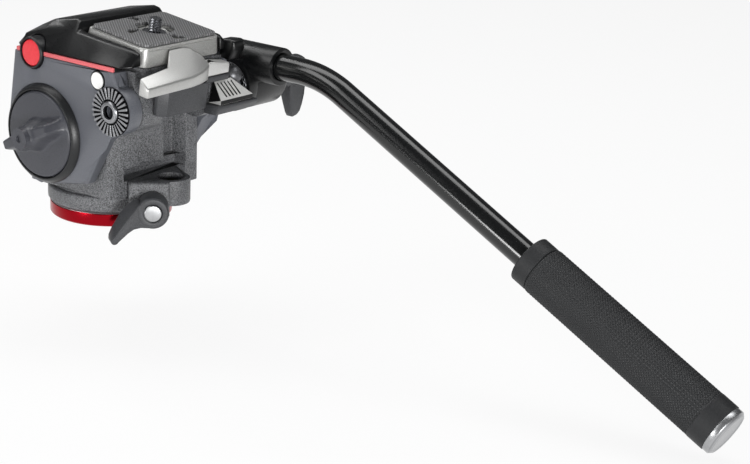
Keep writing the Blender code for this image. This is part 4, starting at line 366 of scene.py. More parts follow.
# Bare turned metal: soft highlights broken by rings, grey on aluminium and steel, warm yellow on brass
turned_aluminium = machined("turned_aluminium_bare", "#c9cacc", "#a2a3a6", 0.30, "Z", (0, 0, 0))
turned_brass = machined("turned_brass", "#c9a45c", "#a07c3a", 0.30, "Z", (0, 0, 0))
turned_steel = machined("turned_steel_bright", "#b4b5b8", "#87888c", 0.28, "Z", (0, 0, 0))
dress("hub_disc", "base_hub", 0.00015, turned_aluminium, "base")
dress("tripod_thread_bush", "thread_bush", 0, turned_brass, "base")
repaint("pan_bolt", turned_steel)
repaint("pan_nut", turned_steel)
repaint("drag_washer", turned_brass)

# Pan casting: flange, tower and level ledge in one aluminium die casting, shot blasted and covered with a
# black textured powder paint.

def grained(name, colour, dark_colour, roughness, grain, depth, metallic=0.0, specular=0.5, cloud=0.012,
            spread=0.10):
    """Paint or moulded skin: fine grain in tone, gloss and height, over slow clouds of tone."""
    material, tree = empty_material(name)
    place = add_node(tree, "TexCoord").outputs["Object"]
    fine = add_node(tree, "TexNoise", {"Scale": 1 / grain, "Detail": 3, "Roughness": 0.6}, {"Vector": place})
    slow = add_node(tree, "TexNoise", {"Scale": 1 / cloud, "Detail": 2}, {"Vector": place})
    drift = add_node(tree, "MapRange", {"To Min": -0.06, "To Max": 0.06}, {"Value": slow})
    both = add_node(tree, "Math", {"operation": "ADD"}, {0: fine, 1: drift})
    tone = add_node(tree, "MapRange", {"From Min": 0.36, "From Max": 0.64}, {"Value": both})
    mix = add_node(tree, "Mix", {"data_type": "RGBA", 6: linear(dark_colour), 7: linear(colour)}, {0: tone})
    gloss = add_node(tree, "MapRange", {"From Min": 0.3, "From Max": 0.7, "To Min": roughness - spread,
                                        "To Max": roughness + spread}, {"Value": fine})
    finish(tree, {"Metallic": metallic, "Specular IOR Level": specular},
           {"Base Color": mix.outputs[2], "Roughness": gloss}, fine, depth)
    return material


# Textured powder paint: charcoal, with a half millimetre grain that sparkles where the light grazes it
black_texture_paint = grained("die_cast_black_texture_paint", "#77787b", "#1c1d1e", 0.44, 0.00055, 0.00025,
                              specular=0.6)
dress("cast_tower", "pan_casting", 0.0005, black_texture_paint, "pan_body")

# Level: a round spirit level, a clear disc over yellow-green fluid with its bubble in the middle, pressed
# into a blackened brass cup at the bottom of the ledge's recess.

def middle(node):
    """The middle of a node's box at rest."""
    low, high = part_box(node)
    return (low + high) / 2


def off_axis(tree, centre, across):
    """Distance of a point from a line through a centre, along the axis that across leaves out."""
    place = add_node(tree, "TexCoord").outputs["Object"]
    centred = add_node(tree, "Mapping", {"Location": -centre}, {"Vector": place})
    flat = add_node(tree, "VectorMath", {"operation": "MULTIPLY", 1: across}, {0: centred})
    return add_node(tree, "VectorMath", {"operation": "LENGTH"}, {0: flat}).outputs["Value"]


BUBBLE_RADIUS = 0.0016
level_middle = middle("level_vial")
# Clear acrylic over oil: wet gloss, dark olive fluid, and a paler bubble with a thin dark rim
level_fluid, tree = empty_material("acrylic_level_disc_with_fluid")
share = add_node(tree, "MapRange", {"From Max": BUBBLE_RADIUS * 4},
                 {"Value": off_axis(tree, level_middle, (1, 1, 0))})
bubble = add_node(tree, "ValToRGB", links={"Fac": share})
stops = bubble.color_ramp.elements
stops.new(0.26)
for stop, position, colour in zip(stops, (0.22, 0.26, 0.30), ("#8f9460", "#1c2105", "#3c4310")):
    stop.position = position
    stop.color = linear(colour)
finish(tree, {"Roughness": 0.06, "Coat Weight": 1.0, "Coat Roughness": 0.03}, {"Base Color": bubble})
dress("level_disc", "level_vial", 0.0002, level_fluid, "pan_body")
# Chemically blackened brass: a dull brown black with a weak metal shine
blackened_brass = machined("turned_brass_blackened", "#55524c", "#2a2826", 0.35, "Z", level_middle)
dress("level_brass_cup", "level_cup", 0.0001, blackened_brass, "pan_body")

# Tilt drive inside the tower: two brass bushes, the aluminium fluid cartridge, the counterbalance spring
# and the steel shaft. They are hidden in the closed head and keep their plain machined looks.

tilt_centre = middle("tilt_shaft")
# Machined round the tilt axis: ground steel is the glossiest, and the oiled spring has no rings
shaft_steel = machined("ground_steel_shaft", "#b4b5b8", "#87888c", 0.22, "X", tilt_centre)
bush_brass = machined("turned_brass_bush", "#c9a45c", "#a07c3a", 0.30, "X", tilt_centre)
cartridge_aluminium = machined("turned_aluminium_cartridge", "#c9cacc", "#a2a3a6", 0.30, "X", tilt_centre)
spring_steel = grained("drawn_spring_steel_oiled", "#8d8f93", "#5c5e62", 0.34, 0.0004, 0.00001, 1.0,
                       cloud=0.004)
for cad_node, material in (("tilt_shaft", shaft_steel), ("tilt_bush_left", bush_brass),
                           ("tilt_bush_right", bush_brass), ("tilt_fluid_cartridge", cartridge_aluminium),
                           ("counterbalance_spring", spring_steel)):
    repaint(cad_node, material)

# Pan lock: a knob with one long blade, moulded in glass filled nylon. Its steel screw is hidden under a bare
# turned cap in the middle of the hub, and its brass cotter inside the casting.

def outline_prism(name, outline, place, low, high):
    """A flat outline drawn square to the third axis of a placing matrix and extruded along it."""
    piece = closed_line(name, [(across, along, low) for across, along in outline], "NGON")
    bpy.ops.mesh.extrude_region_move(TRANSFORM_OT_translate={"value": (0, 0, high - low)})
    close_skin()
    piece.data.transform(place)
    return piece


def in_metres(outline):
    """An outline that is written in millimetres."""
    return [(across / 1000, along / 1000) for across, along in outline]


def combine(piece, other, operation):
    """Joins another shape to a piece or cuts it out, and throws the other away."""
    apply_modifier(piece, "BOOLEAN", {"object": other, "operation": operation, "solver": "EXACT"})
    bpy.data.objects.remove(other)


LOCK_FACE = 0.0004
LOCK_HUB_RADIUS = 0.0076
LOCK_HUB_LENGTH = 0.0112
LOCK_HUB_ROUND = 0.0008
CAP_SEAT_RADIUS = 0.0043
CAP_SEAT_DEPTH = 0.0014
CAP_SEAT_CHAMFER = 0.0004
BLADE_FLOOR = 0.0003
BLADE_DEPTH = 0.0078
lock_axis = Vector((-math.sqrt(0.5), -math.sqrt(0.5), 0))
lock_right = Vector((math.sqrt(0.5), -math.sqrt(0.5), 0))
lock_centre = middle("pan_knob_cap")
lock_place = Matrix((lock_right, ALONG_Z, -lock_axis)).transposed().to_4x4()
lock_place.translation = lock_centre + lock_axis * LOCK_FACE
lock_outline = [(CAP_SEAT_RADIUS, 0.0006), (CAP_SEAT_RADIUS + CAP_SEAT_CHAMFER, 0),
                (LOCK_HUB_RADIUS - LOCK_HUB_ROUND, 0), (LOCK_HUB_RADIUS, LOCK_HUB_ROUND),
                (LOCK_HUB_RADIUS, LOCK_HUB_LENGTH), (0, LOCK_HUB_LENGTH), (0, CAP_SEAT_DEPTH),
                (CAP_SEAT_RADIUS, CAP_SEAT_DEPTH)]
lock_knob = turned_piece("pan_lock_lever", lock_outline, (0, 0, 0), ALONG_Z)
lock_knob.data.transform(lock_place)
blade_front = [(-6.3, 4.2), (-8.9, 0.3), (-12.6, -4.7), (-17.4, -11.6), (-19.2, -13.4), (-19.5, -15.0),
               (-18.2, -15.8), (-16.8, -15.4), (-15.8, -14.1), (-11.6, -10.0), (-8.9, -8.0), (-5.5, -7.2),
               (-1.1, -7.4), (0, 0)]
blade_back = [(-7.0, 5.6), (-11.3, 3.4), (-15.4, -1.2), (-19.4, -8.2), (-21.0, -12.2), (-21.1, -14.6),
              (-19.4, -16.4), (-17.0, -16.2), (-15.8, -14.8), (-11.5, -10.6), (-8.8, -8.6), (-5.4, -7.6),
              (-1.0, -7.6), (0, 0)]
blade = outline_prism("lock_blade", in_metres(blade_front), Matrix.Identity(4), BLADE_FLOOR, BLADE_DEPTH)
for vertex, (across, along) in zip(blade.data.vertices[len(blade_front):], in_metres(blade_back)):
    vertex.co.x = across
    vertex.co.y = along
blade.data.transform(lock_place)
bevel_edges(blade, 0.0007, 3, 32)
combine(lock_knob, blade, "UNION")
# Glass filled nylon: dark grey and half matt, with the faint grain of its mould
moulded_nylon = grained("moulded_black_glass_filled_nylon", "#434447", "#2b2c2e", 0.44, 0.00045, 0.00006,
                        specular=0.45)
settle(lock_knob, moulded_nylon, "pan_lock", "pan_lock_knob", 40)
CAP_RADIUS = 0.0041
CAP_THICKNESS = 0.0012
cap_outline = [(0, 0), (CAP_RADIUS, 0), (CAP_RADIUS, CAP_THICKNESS * 0.7),
               (CAP_RADIUS - 0.0004, CAP_THICKNESS), (0, CAP_THICKNESS)]
cap_start = lock_centre - lock_axis * (CAP_THICKNESS / 2)
# Faced aluminium: pale and satin, with rings too fine to tell apart
cap_aluminium = machined("turned_aluminium_cap", "#c2c3c4", "#a6a7a8", 0.34, "Z", lock_centre, 0.0003)
cap = turned_piece("pan_lock_cap", cap_outline, cap_start, lock_axis, 64, 0.0001)
settle(cap, cap_aluminium, "pan_lock", "pan_knob_cap")
repaint("pan_lock_screw", turned_steel)
repaint("pan_lock_cotter", blackened_brass)

# Cheeks: the two side plates of the tilt platform, aluminium die castings, one at each side of the tower.
# Their wide edge bevel runs all the way round and shows as a lighter strip.

# Satin graphite paint: smooth blue grey with a broad soft highlight
graphite_paint = grained("die_cast_satin_graphite_paint", "#606268", "#52545a", 0.38, 0.0005, 0.00003,
                         specular=0.5, cloud=0.02, spread=0.05)
for side in ("left", "right"):
    dress(side + "_side_plate", side + "_cheek", 0.0004, graphite_paint, "tilt_platform")

# Platform frame: an aluminium die casting with the saddle for the plate and a barrel at each side for the
# rosettes, in the tower's textured paint.

dress("cast_platform_frame", "platform_frame", 0.0004, black_texture_paint, "tilt_platform")

# Rosettes: die-cast zinc rings pressed into the barrels, plated black. Their radial teeth stop the pan bar
# from slipping. Painted shade darkens the gaps between the teeth.

TOOTH_FOOT = 0.0389
TOOTH_TIP = 0.0397
rosette_centre = middle("left_rosette")


def by_reach(tree, low, high):
    """Share from 0 to 1 of how far a point lies from the middle plane of the head."""
    place = add_node(tree, "SeparateXYZ", links={"Vector": add_node(tree, "TexCoord").outputs["Object"]})
    reach = add_node(tree, "Math", {"operation": "ABSOLUTE"}, {0: place})
    return add_node(tree, "MapRange", {"From Min": low, "From Max": high}, {"Value": reach})


# Bright zinc teeth, with painted shade that makes the gaps between them black
rosette_zinc = machined("die_cast_zinc_with_painted_shade_between_teeth", "#b9babc", "#8b8c8f", 0.36, "X", rosette_centre)
second_colour(rosette_zinc, "#101113", lambda tree: by_reach(tree, TOOTH_TIP, TOOTH_FOOT))
for side in ("left", "right"):
    dress(side + "_toothed_ring", side + "_rosette", 0.0001, rosette_zinc, "tilt_platform",
          smooth=30, segments=1)

# Tilt lock collar: a ring of moulded black nylon that stays still on the left cheek while the knob turns
# in it. A narrow gap is left all round the knob.

ALONG_X = Vector((1, 0, 0))
KNOB_CLEARANCE = 0.0004
COLLAR_TOP_RADIUS = 0.0222


def turned_size(node):
    """Radius and thickness of a node that is turned round an axis along X."""
    low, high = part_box(node)
    return (high.y - low.y) / 2, high.x - low.x


def on_tilt_axis(x):
    """The point of the tilt axis at a distance from the middle plane."""
    return Vector((x, tilt_centre.y, tilt_centre.z))


knob_low, knob_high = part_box("tilt_knob")
knob_radius, knob_thickness = turned_size("tilt_knob")
collar_radius, collar_height = turned_size("tilt_collar")
collar_outline = [(knob_radius + KNOB_CLEARANCE, 0), (collar_radius, 0),
                  (COLLAR_TOP_RADIUS + 0.0005, collar_height * 0.8),
                  (COLLAR_TOP_RADIUS - 0.0003, collar_height),
                  (knob_radius + KNOB_CLEARANCE * 2, collar_height),
                  (knob_radius + KNOB_CLEARANCE, collar_height * 0.8)]
# Satin nylon: a deep black whose edges carry a clear thin highlight
satin_nylon = grained("moulded_black_nylon_satin", "#1c1d1f", "#121314", 0.36, 0.0004, 0.00003, specular=0.42)
collar = turned_piece("tilt_knob_collar", collar_outline, on_tilt_axis(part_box("tilt_collar")[1].x), -ALONG_X,
                      128, 0.00035)
settle(collar, satin_nylon, "tilt_platform", "tilt_collar", 40)

# Tilt lock: a round moulded nylon knob with a finger wing across it. Its disc is scooped out on both sides
# of the wing, and a socket screw holds it on its shaft.

KNOB_RINGS = 60
KNOB_SIDES = 160
RIM_HEIGHT = 0.0034
RIM_ROUND = 0.0006
RIM_ROUND_WIDTH = 0.0007
FACE_CROWN = 0.0010
HUB_RADIUS = 0.0052
SCREW_BORE = 0.0016
SCREW_BORE_DEPTH = 0.0012
WING_ANGLE = math.radians(-24.5)
WING_SHOULDER = 0.0155
WING_END = 0.0204
WING_CREST = 0.0132
# Height of the wing's crest, and its half width at crest and foot, by distance from the knob's axis
CREST_LINE = [(0.0, 0.0152), (0.0075, WING_CREST), (WING_SHOULDER, WING_CREST - 0.0004)]
FLAT_LINE = [(0.0, 0.0042), (0.0085, 0.0019), (0.018, 0.0016)]
FOOT_LINE = [(0.0, 0.0088), (0.010, 0.0064), (0.017, 0.0048), (WING_END, 0.0052)]
hub_height = knob_thickness - 0.0001


def smooth_step(value):
    """Runs smoothly from 0 to 1 and stays there on both sides."""
    value = min(1, max(0, value))
    return value * value * (3 - 2 * value)


def blend_at(place, table):
    """Reads a smooth value at a place from a table of (place, value)."""
    for (first, value), (second, next_value) in zip(table, table[1:]):
        if place <= second:
            return value + (next_value - value) * smooth_step((place - first) / (second - first))
    return table[-1][1]


def knob_height(along, across):
    """Height of the knob's face above its foot at a place along and across its wing."""
    distance = math.hypot(along, across)
    reach = abs(along)
    base = RIM_HEIGHT + FACE_CROWN * (1 - (distance / knob_radius) ** 2)
    crest = blend_at(reach, CREST_LINE)
    if reach > WING_SHOULDER:
        past = min(1, (reach - WING_SHOULDER) / (WING_END - WING_SHOULDER))
        crest = base + (crest - base) * (1 - past) ** 1.6
    flat = blend_at(reach, FLAT_LINE)
    fall = min(1, max(0, (abs(across) - flat) / (blend_at(reach, FOOT_LINE) - flat)))
    wing = base + max(0, crest - base) * (1 - smooth_step(fall)) ** 1.3
    hub = hub_height * (1 - smooth_step((distance - HUB_RADIUS) / 0.0008))
    if distance < SCREW_BORE:
        hub = hub_height - SCREW_BORE_DEPTH
    return max(wing, hub)


deselect_all()
bpy.ops.mesh.primitive_circle_add(vertices=KNOB_SIDES, radius=knob_radius, fill_type="NGON")
knob = bpy.context.object
knob.name = "tilt_lock_knob"
edit_all()
bpy.ops.mesh.extrude_region_move(TRANSFORM_OT_translate={"value": (0, 0, RIM_HEIGHT)})
for step in range(KNOB_RINGS - 1):
    bpy.ops.mesh.inset(thickness=knob_radius / KNOB_RINGS)
bpy.ops.mesh.poke()
bpy.ops.object.mode_set(mode="OBJECT")
for vertex in knob.data.vertices:
    if vertex.co.z > RIM_HEIGHT / 2:
        along = vertex.co.x
        across = vertex.co.y
        past_rim = math.hypot(along, across) - knob_radius + RIM_ROUND_WIDTH
        vertex.co.z = knob_height(along, across) - RIM_ROUND * smooth_step(past_rim / RIM_ROUND_WIDTH)
lengthwise = Vector((0, math.cos(WING_ANGLE), math.sin(WING_ANGLE)))
crosswise = (-ALONG_X).cross(lengthwise)
knob_turn = Matrix((lengthwise, crosswise, -ALONG_X)).transposed().to_4x4()
knob.data.transform(Matrix.Translation(on_tilt_axis(knob_high.x)) @ knob_turn)
# Moulded nylon, a shade greyer than its collar, with a soft highlight along the wing
knob_nylon = grained("moulded_black_nylon_knob", "#43444a", "#36373c", 0.36, 0.0004, 0.00004, specular=0.42)
settle(knob, knob_nylon, "tilt_lock", "tilt_knob", 60)

SCREW_RADIUS = 0.0015
SCREW_HEAD = 0.0011
SOCKET_RADIUS = 0.0008
SOCKET_FLOOR = 0.0005
SCREW_SINK = 0.0022
screw_outline = [(0, 0), (SCREW_RADIUS, 0), (SCREW_RADIUS, SCREW_HEAD), (SOCKET_RADIUS, SCREW_HEAD),
                 (SOCKET_RADIUS, SOCKET_FLOOR), (0, SOCKET_FLOOR)]
socket_screw = turned_piece("tilt_knob_socket_screw", screw_outline, on_tilt_axis(knob_low.x + SCREW_SINK),
                            -ALONG_X, 32, 0.0001)
# Oil blackened steel: nearly black, with a small hard glint
dark_steel = machined("blackened_steel_screw", "#26272a", "#141516", 0.35, "X", tilt_centre)
settle(socket_screw, dark_steel, "tilt_lock", "tilt_knob_screw")

# Right hub cover: a flat dished cap of the same satin nylon, which closes the end of the tilt shaft on the
# side away from the knob.

COVER_EDGE = 0.0012
cover_radius, cover_thickness = turned_size("right_cover")
cover_outline = [(0, 0), (cover_radius, 0), (cover_radius, cover_thickness * 0.5),
                 (cover_radius - COVER_EDGE, cover_thickness), (cover_radius * 0.62, cover_thickness),
                 (cover_radius * 0.60, cover_thickness * 0.75), (0, cover_thickness * 0.75)]
cover = turned_piece("right_hub_cover", cover_outline, on_tilt_axis(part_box("right_cover")[0].x), ALONG_X, 128)
settle(cover, satin_nylon, "tilt_platform", "right_cover", 40)

# Trim lines: a thin line of soft plastic clipped between each cheek and the bonnet. The left one is in two
# pieces, because the badge stands in its way.

TRIM_REACH = 0.0366
# Soft moulded plastic: an even salmon red, with painted shade that makes it black at its sides where it dips
# into the groove
salmon_plastic = grained("moulded_salmon_trim", "#d6686c", "#c6565b", 0.42, 0.0006, 0.00002, cloud=0.006,
                         spread=0.04)
# Painted shade: black where the trim lies deeper than its face.
second_colour(salmon_plastic, "#0b0b0c", lambda tree: by_reach(tree, TRIM_REACH + 0.0001, TRIM_REACH))
for cad_node, name in (("left_stripe_front", "left_line_front"), ("left_stripe_rear", "left_line_rear"),
                       ("right_stripe", "right_line")):
    dress(name, cad_node, 0.00025, salmon_plastic, "tilt_platform")

# Badge: a domed disc enamelled red, with nothing written on it. It sits in its own cup of moulded black
# nylon at the foot of the left trim line.

badge_centre = middle("badge_disc")
badge_radius, badge_thickness = turned_size("badge_disc")
badge_foot = (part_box("badge_disc")[1].x, badge_centre.y, badge_centre.z)
badge_outline = [(0, 0), (badge_radius, 0), (badge_radius, badge_thickness * 0.55),
                 (badge_radius * 0.93, badge_thickness * 0.9), (badge_radius * 0.5, badge_thickness),
                 (0, badge_thickness)]
badge = turned_piece("red_badge", badge_outline, badge_foot, -ALONG_X, 96, 0.0001)
# Stoved enamel: a clean bright red under a glassy gloss
red_enamel = grained("domed_red_enamel", "#d8303a", "#cf2a33", 0.22, 0.002, 0.000005, cloud=0.02, spread=0.03)
settle(badge, red_enamel, "tilt_platform", "badge_disc")
dress("badge_cup", "badge_collar", 0.0003, satin_nylon, "tilt_platform", smooth=40)

# Label disc: a flat disc of moulded white plastic with a black rim and nothing written on it, let into the
# left cheek.

LABEL_RIM = 0.0005
LABEL_CHAMFER = 0.0002
label_centre = middle("label_disc")
label_radius, label_thickness = turned_size("label_disc")
label_foot = (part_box("label_disc")[1].x, label_centre.y, label_centre.z)
label_outline = [(0, 0), (label_radius, 0), (label_radius, label_thickness * 0.8),
                 (label_radius - LABEL_CHAMFER, label_thickness), (0, label_thickness)]
label = turned_piece("white_disc", label_outline, label_foot, -ALONG_X, 64, 0)


def past_rim_line(tree):
    """One where a point lies further from the disc's axis than its white face reaches."""
    return add_node(tree, "Math", {"operation": "GREATER_THAN", 1: label_radius - LABEL_RIM},
                    {0: off_axis(tree, label_centre, (0, 1, 1))})


# White moulded plastic: warm white and half matt, with a black printed rim
white_plastic = grained("moulded_white_disc", "#e9e9e7", "#dededc", 0.40, 0.0006, 0.00001, cloud=0.01,
                        spread=0.04)
second_colour(white_plastic, "#141415", past_rim_line)
settle(label, white_plastic, "tilt_platform", "label_disc")

# Bonnet: the cover over the tilt platform, a die casting in smooth black paint with soft edges, which rises
# to a rounded brow in front of the camera plate. A small lug closes its rear corner beside the bar clamp.

# Satin black paint: very dark and smooth, shaped by broad dim reflections
satin_black_paint = grained("die_cast_satin_black_paint", "#0e0f10", "#080809", 0.32, 0.0005, 0.00003,
                            specular=0.42, cloud=0.02, spread=0.06)
dress("cover_bonnet", "bonnet", 0.0009, satin_black_paint, "tilt_platform", smooth=40,
      segments=3)
CORNER_LEFT = 0.0290
CORNER_RIGHT = 0.0374
corner_outline = [(-44.0, 80.0), (-44.0, 89.2), (-51.2, 89.8), (-53.5, 89.3), (-53.8, 85.0), (-50.0, 79.0)]
side_place = Matrix(((0, 0, 1, 0), (1, 0, 0, 0), (0, 1, 0, 0), (0, 0, 0, 1)))
bonnet_corner = outline_prism("bonnet_rear_corner", in_metres(corner_outline), side_place, CORNER_LEFT,
                              CORNER_RIGHT)
bevel_edges(bonnet_corner, 0.0014, 3, 34)
settle(bonnet_corner, satin_black_paint, "tilt_platform", "bonnet", 40)

# Camera plate: a quick release plate die-cast in aluminium and tumbled, with a ribbed rubber pad let into
# its top. The pad's windows leave room for the fingers of the D ring and for anti-twist pins.

DECK_PITCH = math.radians(7.2)
DECK_CENTRE = Vector((0, -0.0295, 0.096))
WINDOW_FLOOR = -0.0030
CUT_TOP = 0.0010
RIB_PITCH = 0.0012
deck_place = Matrix.Translation(DECK_CENTRE) @ Matrix.Rotation(DECK_PITCH, 4, "X")
windows = [[(-2.4, 17.0), (3.4, 18.0), (4.4, 13.7), (0.2, 12.2), (-0.3, 15.8)],
           [(-16.2, 2.3), (-12.1, 4.5), (-7.9, 1.8), (-12.8, -0.2), (-17.0, -1.2)],
           [(-6.2, 7.1), (-3.4, 9.3), (3.5, 8.8), (2.3, 7.0), (-5.1, 6.2)],
           [(8.7, 4.3), (10.9, 2.0), (9.2, -3.2), (7.0, -6.4), (4.3, -7.6), (5.3, -4.7), (7.0, -0.4)],
           [(-2.0, -12.1), (1.3, -11.2), (3.3, -13.9), (2.5, -17.4), (-1.3, -17.6), (-3.7, -16.4)]]
edge_grooves = [[(-25.1, 17), (-25.1, -15), (-24.3, -15), (-24.3, 17)],
                [(-22.8, -19.3), (22, -19.3), (22, -18.6), (-22.8, -18.6)],
                [(-15.1, 18.6), (13.1, 18.6), (13.1, 19.3), (-15.1, 19.3)]]
plate = rounded_copy("release_plate", "quick_plate", 0.0006, 3)
pad = rounded_copy("ribbed_pad", "rubber_pad", 0.0002)
for opening in windows + edge_grooves:
    for piece in (plate, pad) if opening in windows else (plate,):
        cutter = outline_prism("window", in_metres(opening), deck_place, WINDOW_FLOOR, CUT_TOP)
        combine(piece, cutter, "DIFFERENCE")
# Tumbled aluminium: pale grey, half metal and half matt, with no grain to see from here
plate_metal = grained("die_cast_aluminium_tumbled", "#bcbcb9", "#a2a2a0", 0.36, 0.0005, 0.00004, metallic=0.5,
                      cloud=0.02, spread=0.06)
settle(plate, plate_metal, "plate", "quick_plate", 40)
# Moulded rubber: matt grey, with small diamond ribs, and painted shade that makes the gaps darker than the rib
# tops
pad_rubber, tree = empty_material("moulded_grey_rubber_with_diamond_ribs")
place = add_node(tree, "TexCoord").outputs["Object"]
turned_place = add_node(tree, "Mapping", {"Rotation": (0, 0, math.radians(38))}, {"Vector": place})
ribs_one, ribs_two = (add_node(tree, "TexWave", {"wave_profile": "SIN", "bands_direction": direction,
                                                 "Scale": WAVE_SCALE / RIB_PITCH},
                               {"Vector": turned_place}) for direction in "XY")
rib_relief_and_shade = add_node(tree, "Math", {"operation": "MULTIPLY"},
                   {0: ribs_one.outputs["Fac"], 1: ribs_two.outputs["Fac"]})
# Painted shade: the rib pattern that gives the relief also darkens the gaps between the ribs.
mix = add_node(tree, "Mix", {"data_type": "RGBA", 6: linear("#4c4c4d"), 7: linear("#a0a0a1")}, {0: rib_relief_and_shade})
finish(tree, {"Roughness": 0.58, "Specular IOR Level": 0.45}, {"Base Color": mix.outputs[2]},
       rib_relief_and_shade, 0.00025)
settle(pad, pad_rubber, "plate", "rubber_pad")

# Camera screw: a quarter inch screw turned from steel, held in the plate by a bright washer that shows
# through the pad's windows, with a folding ring below to turn it by hand.

WASHER_BORE = 0.0056
WASHER_RADIUS = 0.0086
washer_low = WINDOW_FLOOR + 0.0002
washer_high = WINDOW_FLOOR + 0.0010
washer_outline = [(WASHER_BORE, washer_low), (WASHER_RADIUS, washer_low), (WASHER_RADIUS, washer_high),
                  (WASHER_BORE, washer_high)]
washer = turned_piece("silver_washer", washer_outline, (0, 0, 0), ALONG_Z, 96, 0.0001)
washer.data.transform(deck_place)
# Pressed bright steel: nearly white in the soft light, the brightest thing in the windows
washer_steel = machined("pressed_steel_washer", "#d5d5d6", "#b4b5b6", 0.26, "Z", DECK_CENTRE)
settle(washer, washer_steel, "plate_screw", "camera_screw")
dress("quarter_inch_screw", "camera_screw", 0, turned_steel, "plate_screw")
dress("folding_ring", "d_ring", 0, turned_steel, "plate_screw", smooth=60)

# Release lever: a zinc die casting, a wing shaped finger piece on a steel pin. It turns on a black housing
# under the rear of the plate and a small coil spring brings it back.

# Silver paint: pale and metallic, with one smooth highlight along each rounded edge
silver_paint = grained("die_cast_silver_paint", "#c4c4c2", "#b7b7b5", 0.38, 0.0004, 0.00002, metallic=0.75,
                       cloud=0.01, spread=0.04)
dress("silver_release_lever", "release_lever", 0.0008, silver_paint, "lever", segments=3,
      spare="lever_pin")
dress("lever_seat", "lever_housing", 0.0004, moulded_nylon, "tilt_platform")
repaint("lever_pin", turned_steel)
repaint("lever_spring", spring_steel)

# Safety catch: a small die-cast push piece beside the lever. It has to be pressed before the lever turns,
# so that the plate can't come off by accident.

# Bright silver paint: paler and less metallic than the lever's, so it stays light in shadow
bright_paint = grained("die_cast_bright_silver_paint", "#cbcbc9", "#bdbdbb", 0.40, 0.0004, 0.00002,
                       metallic=0.2, cloud=0.01, spread=0.04)
dress("silver_catch", "safety_catch", 0.0004, bright_paint, "catch")

# Drag selector: a die-cast slider with five finger grooves across its slope, on a moulded black base at the
# right of the rear, with a domed steel boss beside it.

GROOVES = 5
GROOVE_HALF_WIDTH = 0.00055
GROOVE_HALF_LENGTH = 0.0040
GROOVE_ROUND = 0.0004
GROOVE_DEPTH = 0.0007
FIRST_GROOVE = 0.0182
GROOVE_PITCH = 0.0024
NOSE_RISE = 0.0022
GROOVE_START = 0.00012
FLOOR_REACH = 0.0012
WALL_REACH = 0.0025
selector = rounded_copy("ribbed_slider", "drag_selector", 0.00012, 1)
slider_low, slider_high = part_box("drag_selector")
slope_foot = Vector((0, slider_low.y, slider_low.z + NOSE_RISE))
slope_top = Vector((0, slider_high.y, slider_high.z))
up_slope = (slope_top - slope_foot).normalized()
slope_place = Matrix((ALONG_X, up_slope, ALONG_X.cross(up_slope))).transposed().to_4x4()
groove_outline = [(side * GROOVE_HALF_WIDTH * width, end * (GROOVE_HALF_LENGTH + reach))
                  for side, end, width, reach in ((-1, -1, 1, 0), (0, -1, 1, GROOVE_ROUND), (1, -1, 1, 0),
                                                  (1, 1, 0.7, 0), (0, 1, 1, GROOVE_ROUND), (-1, 1, 0.7, 0))]
for number in range(GROOVES):
    slope_place.translation = (slope_foot + slope_top) / 2 + ALONG_X * (FIRST_GROOVE + GROOVE_PITCH * number)
    cutter = outline_prism("groove", groove_outline, slope_place, -GROOVE_DEPTH, GROOVE_DEPTH)
    combine(selector, cutter, "DIFFERENCE")
# The faces inside the grooves are marked, for painted shade that makes them black.
slope_faces = [face for face in selector.data.polygons if face.normal.z > 0.2 and face.normal.y < -0.2]
upper = max(slope_faces, key=lambda face: face.area).normal.copy()
surface = max(vertex.co.dot(upper) for vertex in selector.data.vertices)
groove = selector.data.attributes.new("groove", "FLOAT", "CORNER")
for face in selector.data.polygons:
    deepest = WALL_REACH if abs(face.normal.x) > 0.3 else FLOOR_REACH
    inside = GROOVE_START < surface - face.center.dot(upper) < deepest
    for corner in face.loop_indices:
        groove.data[corner].value = float(inside)
# The catch's bright paint, with painted shade that makes the grooves black
ribbed_silver = bright_paint.copy()
ribbed_silver.name = "die_cast_silver_paint_with_painted_groove_shade"
second_colour(ribbed_silver, "#131314", lambda tree: add_node(
    tree, "Attribute", {"attribute_name": "groove"}).outputs["Fac"])
settle(selector, ribbed_silver, "selector", "drag_selector")
dress("slider_base", "selector_base", 0.0003, moulded_nylon, "tilt_platform")
boss = rounded_copy("domed_boss", "selector_boss", 0)
# Satin nickel plate: a mid grey dome with one soft round highlight
boss_steel = grained("satin_nickel_dome", "#77787a", "#626366", 0.42, 0.0006, 0.00001, 0.8, cloud=0.01,
                     spread=0.04)
settle(boss, boss_steel, "tilt_platform", "selector_boss", 50)

# Pan bar clamp: a black die casting, a barrel on the rosette's axis with a sleeve across its top for the
# bar. A flange with a lug closes its inner end, and its toothed zinc ring meets the rosette.

BARREL_Y = -0.0397
BARREL_Z = 0.0637
BARREL_RADIUS = 0.0132
RIM_RADIUS = BARREL_RADIUS + 0.0002
RIM_STEPS = 40
FLANGE_WIDTH = 0.0062
FLANGE_TIP = (-0.0480, 0.0775)
dress("cast_bar_clamp", "bar_clamp", 0.0004, satin_black_paint, "bar_mount", smooth=40)
flange_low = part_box("clamp_rosette")[1].x
tip_angle = math.atan2(FLANGE_TIP[1] - BARREL_Z, FLANGE_TIP[0] - BARREL_Y)
tip_reach = math.hypot(FLANGE_TIP[1] - BARREL_Z, FLANGE_TIP[0] - BARREL_Y)
touch = math.acos(BARREL_RADIUS / tip_reach)
from_tip = sorted((math.tau * step / RIM_STEPS - tip_angle) % math.tau for step in range(RIM_STEPS))
rim_turns = [tip_angle + turn for turn in from_tip if touch < turn < math.tau - touch]
rim = [(BARREL_Y + RIM_RADIUS * math.cos(turn), BARREL_Z + RIM_RADIUS * math.sin(turn)) for turn in rim_turns]
clamp_flange = outline_prism("clamp_flange", [FLANGE_TIP] + rim, side_place, flange_low,
                             flange_low + FLANGE_WIDTH)
bevel_edges(clamp_flange, 0.0004, 2, 34)
settle(clamp_flange, satin_black_paint, "bar_mount", "bar_clamp", 40)
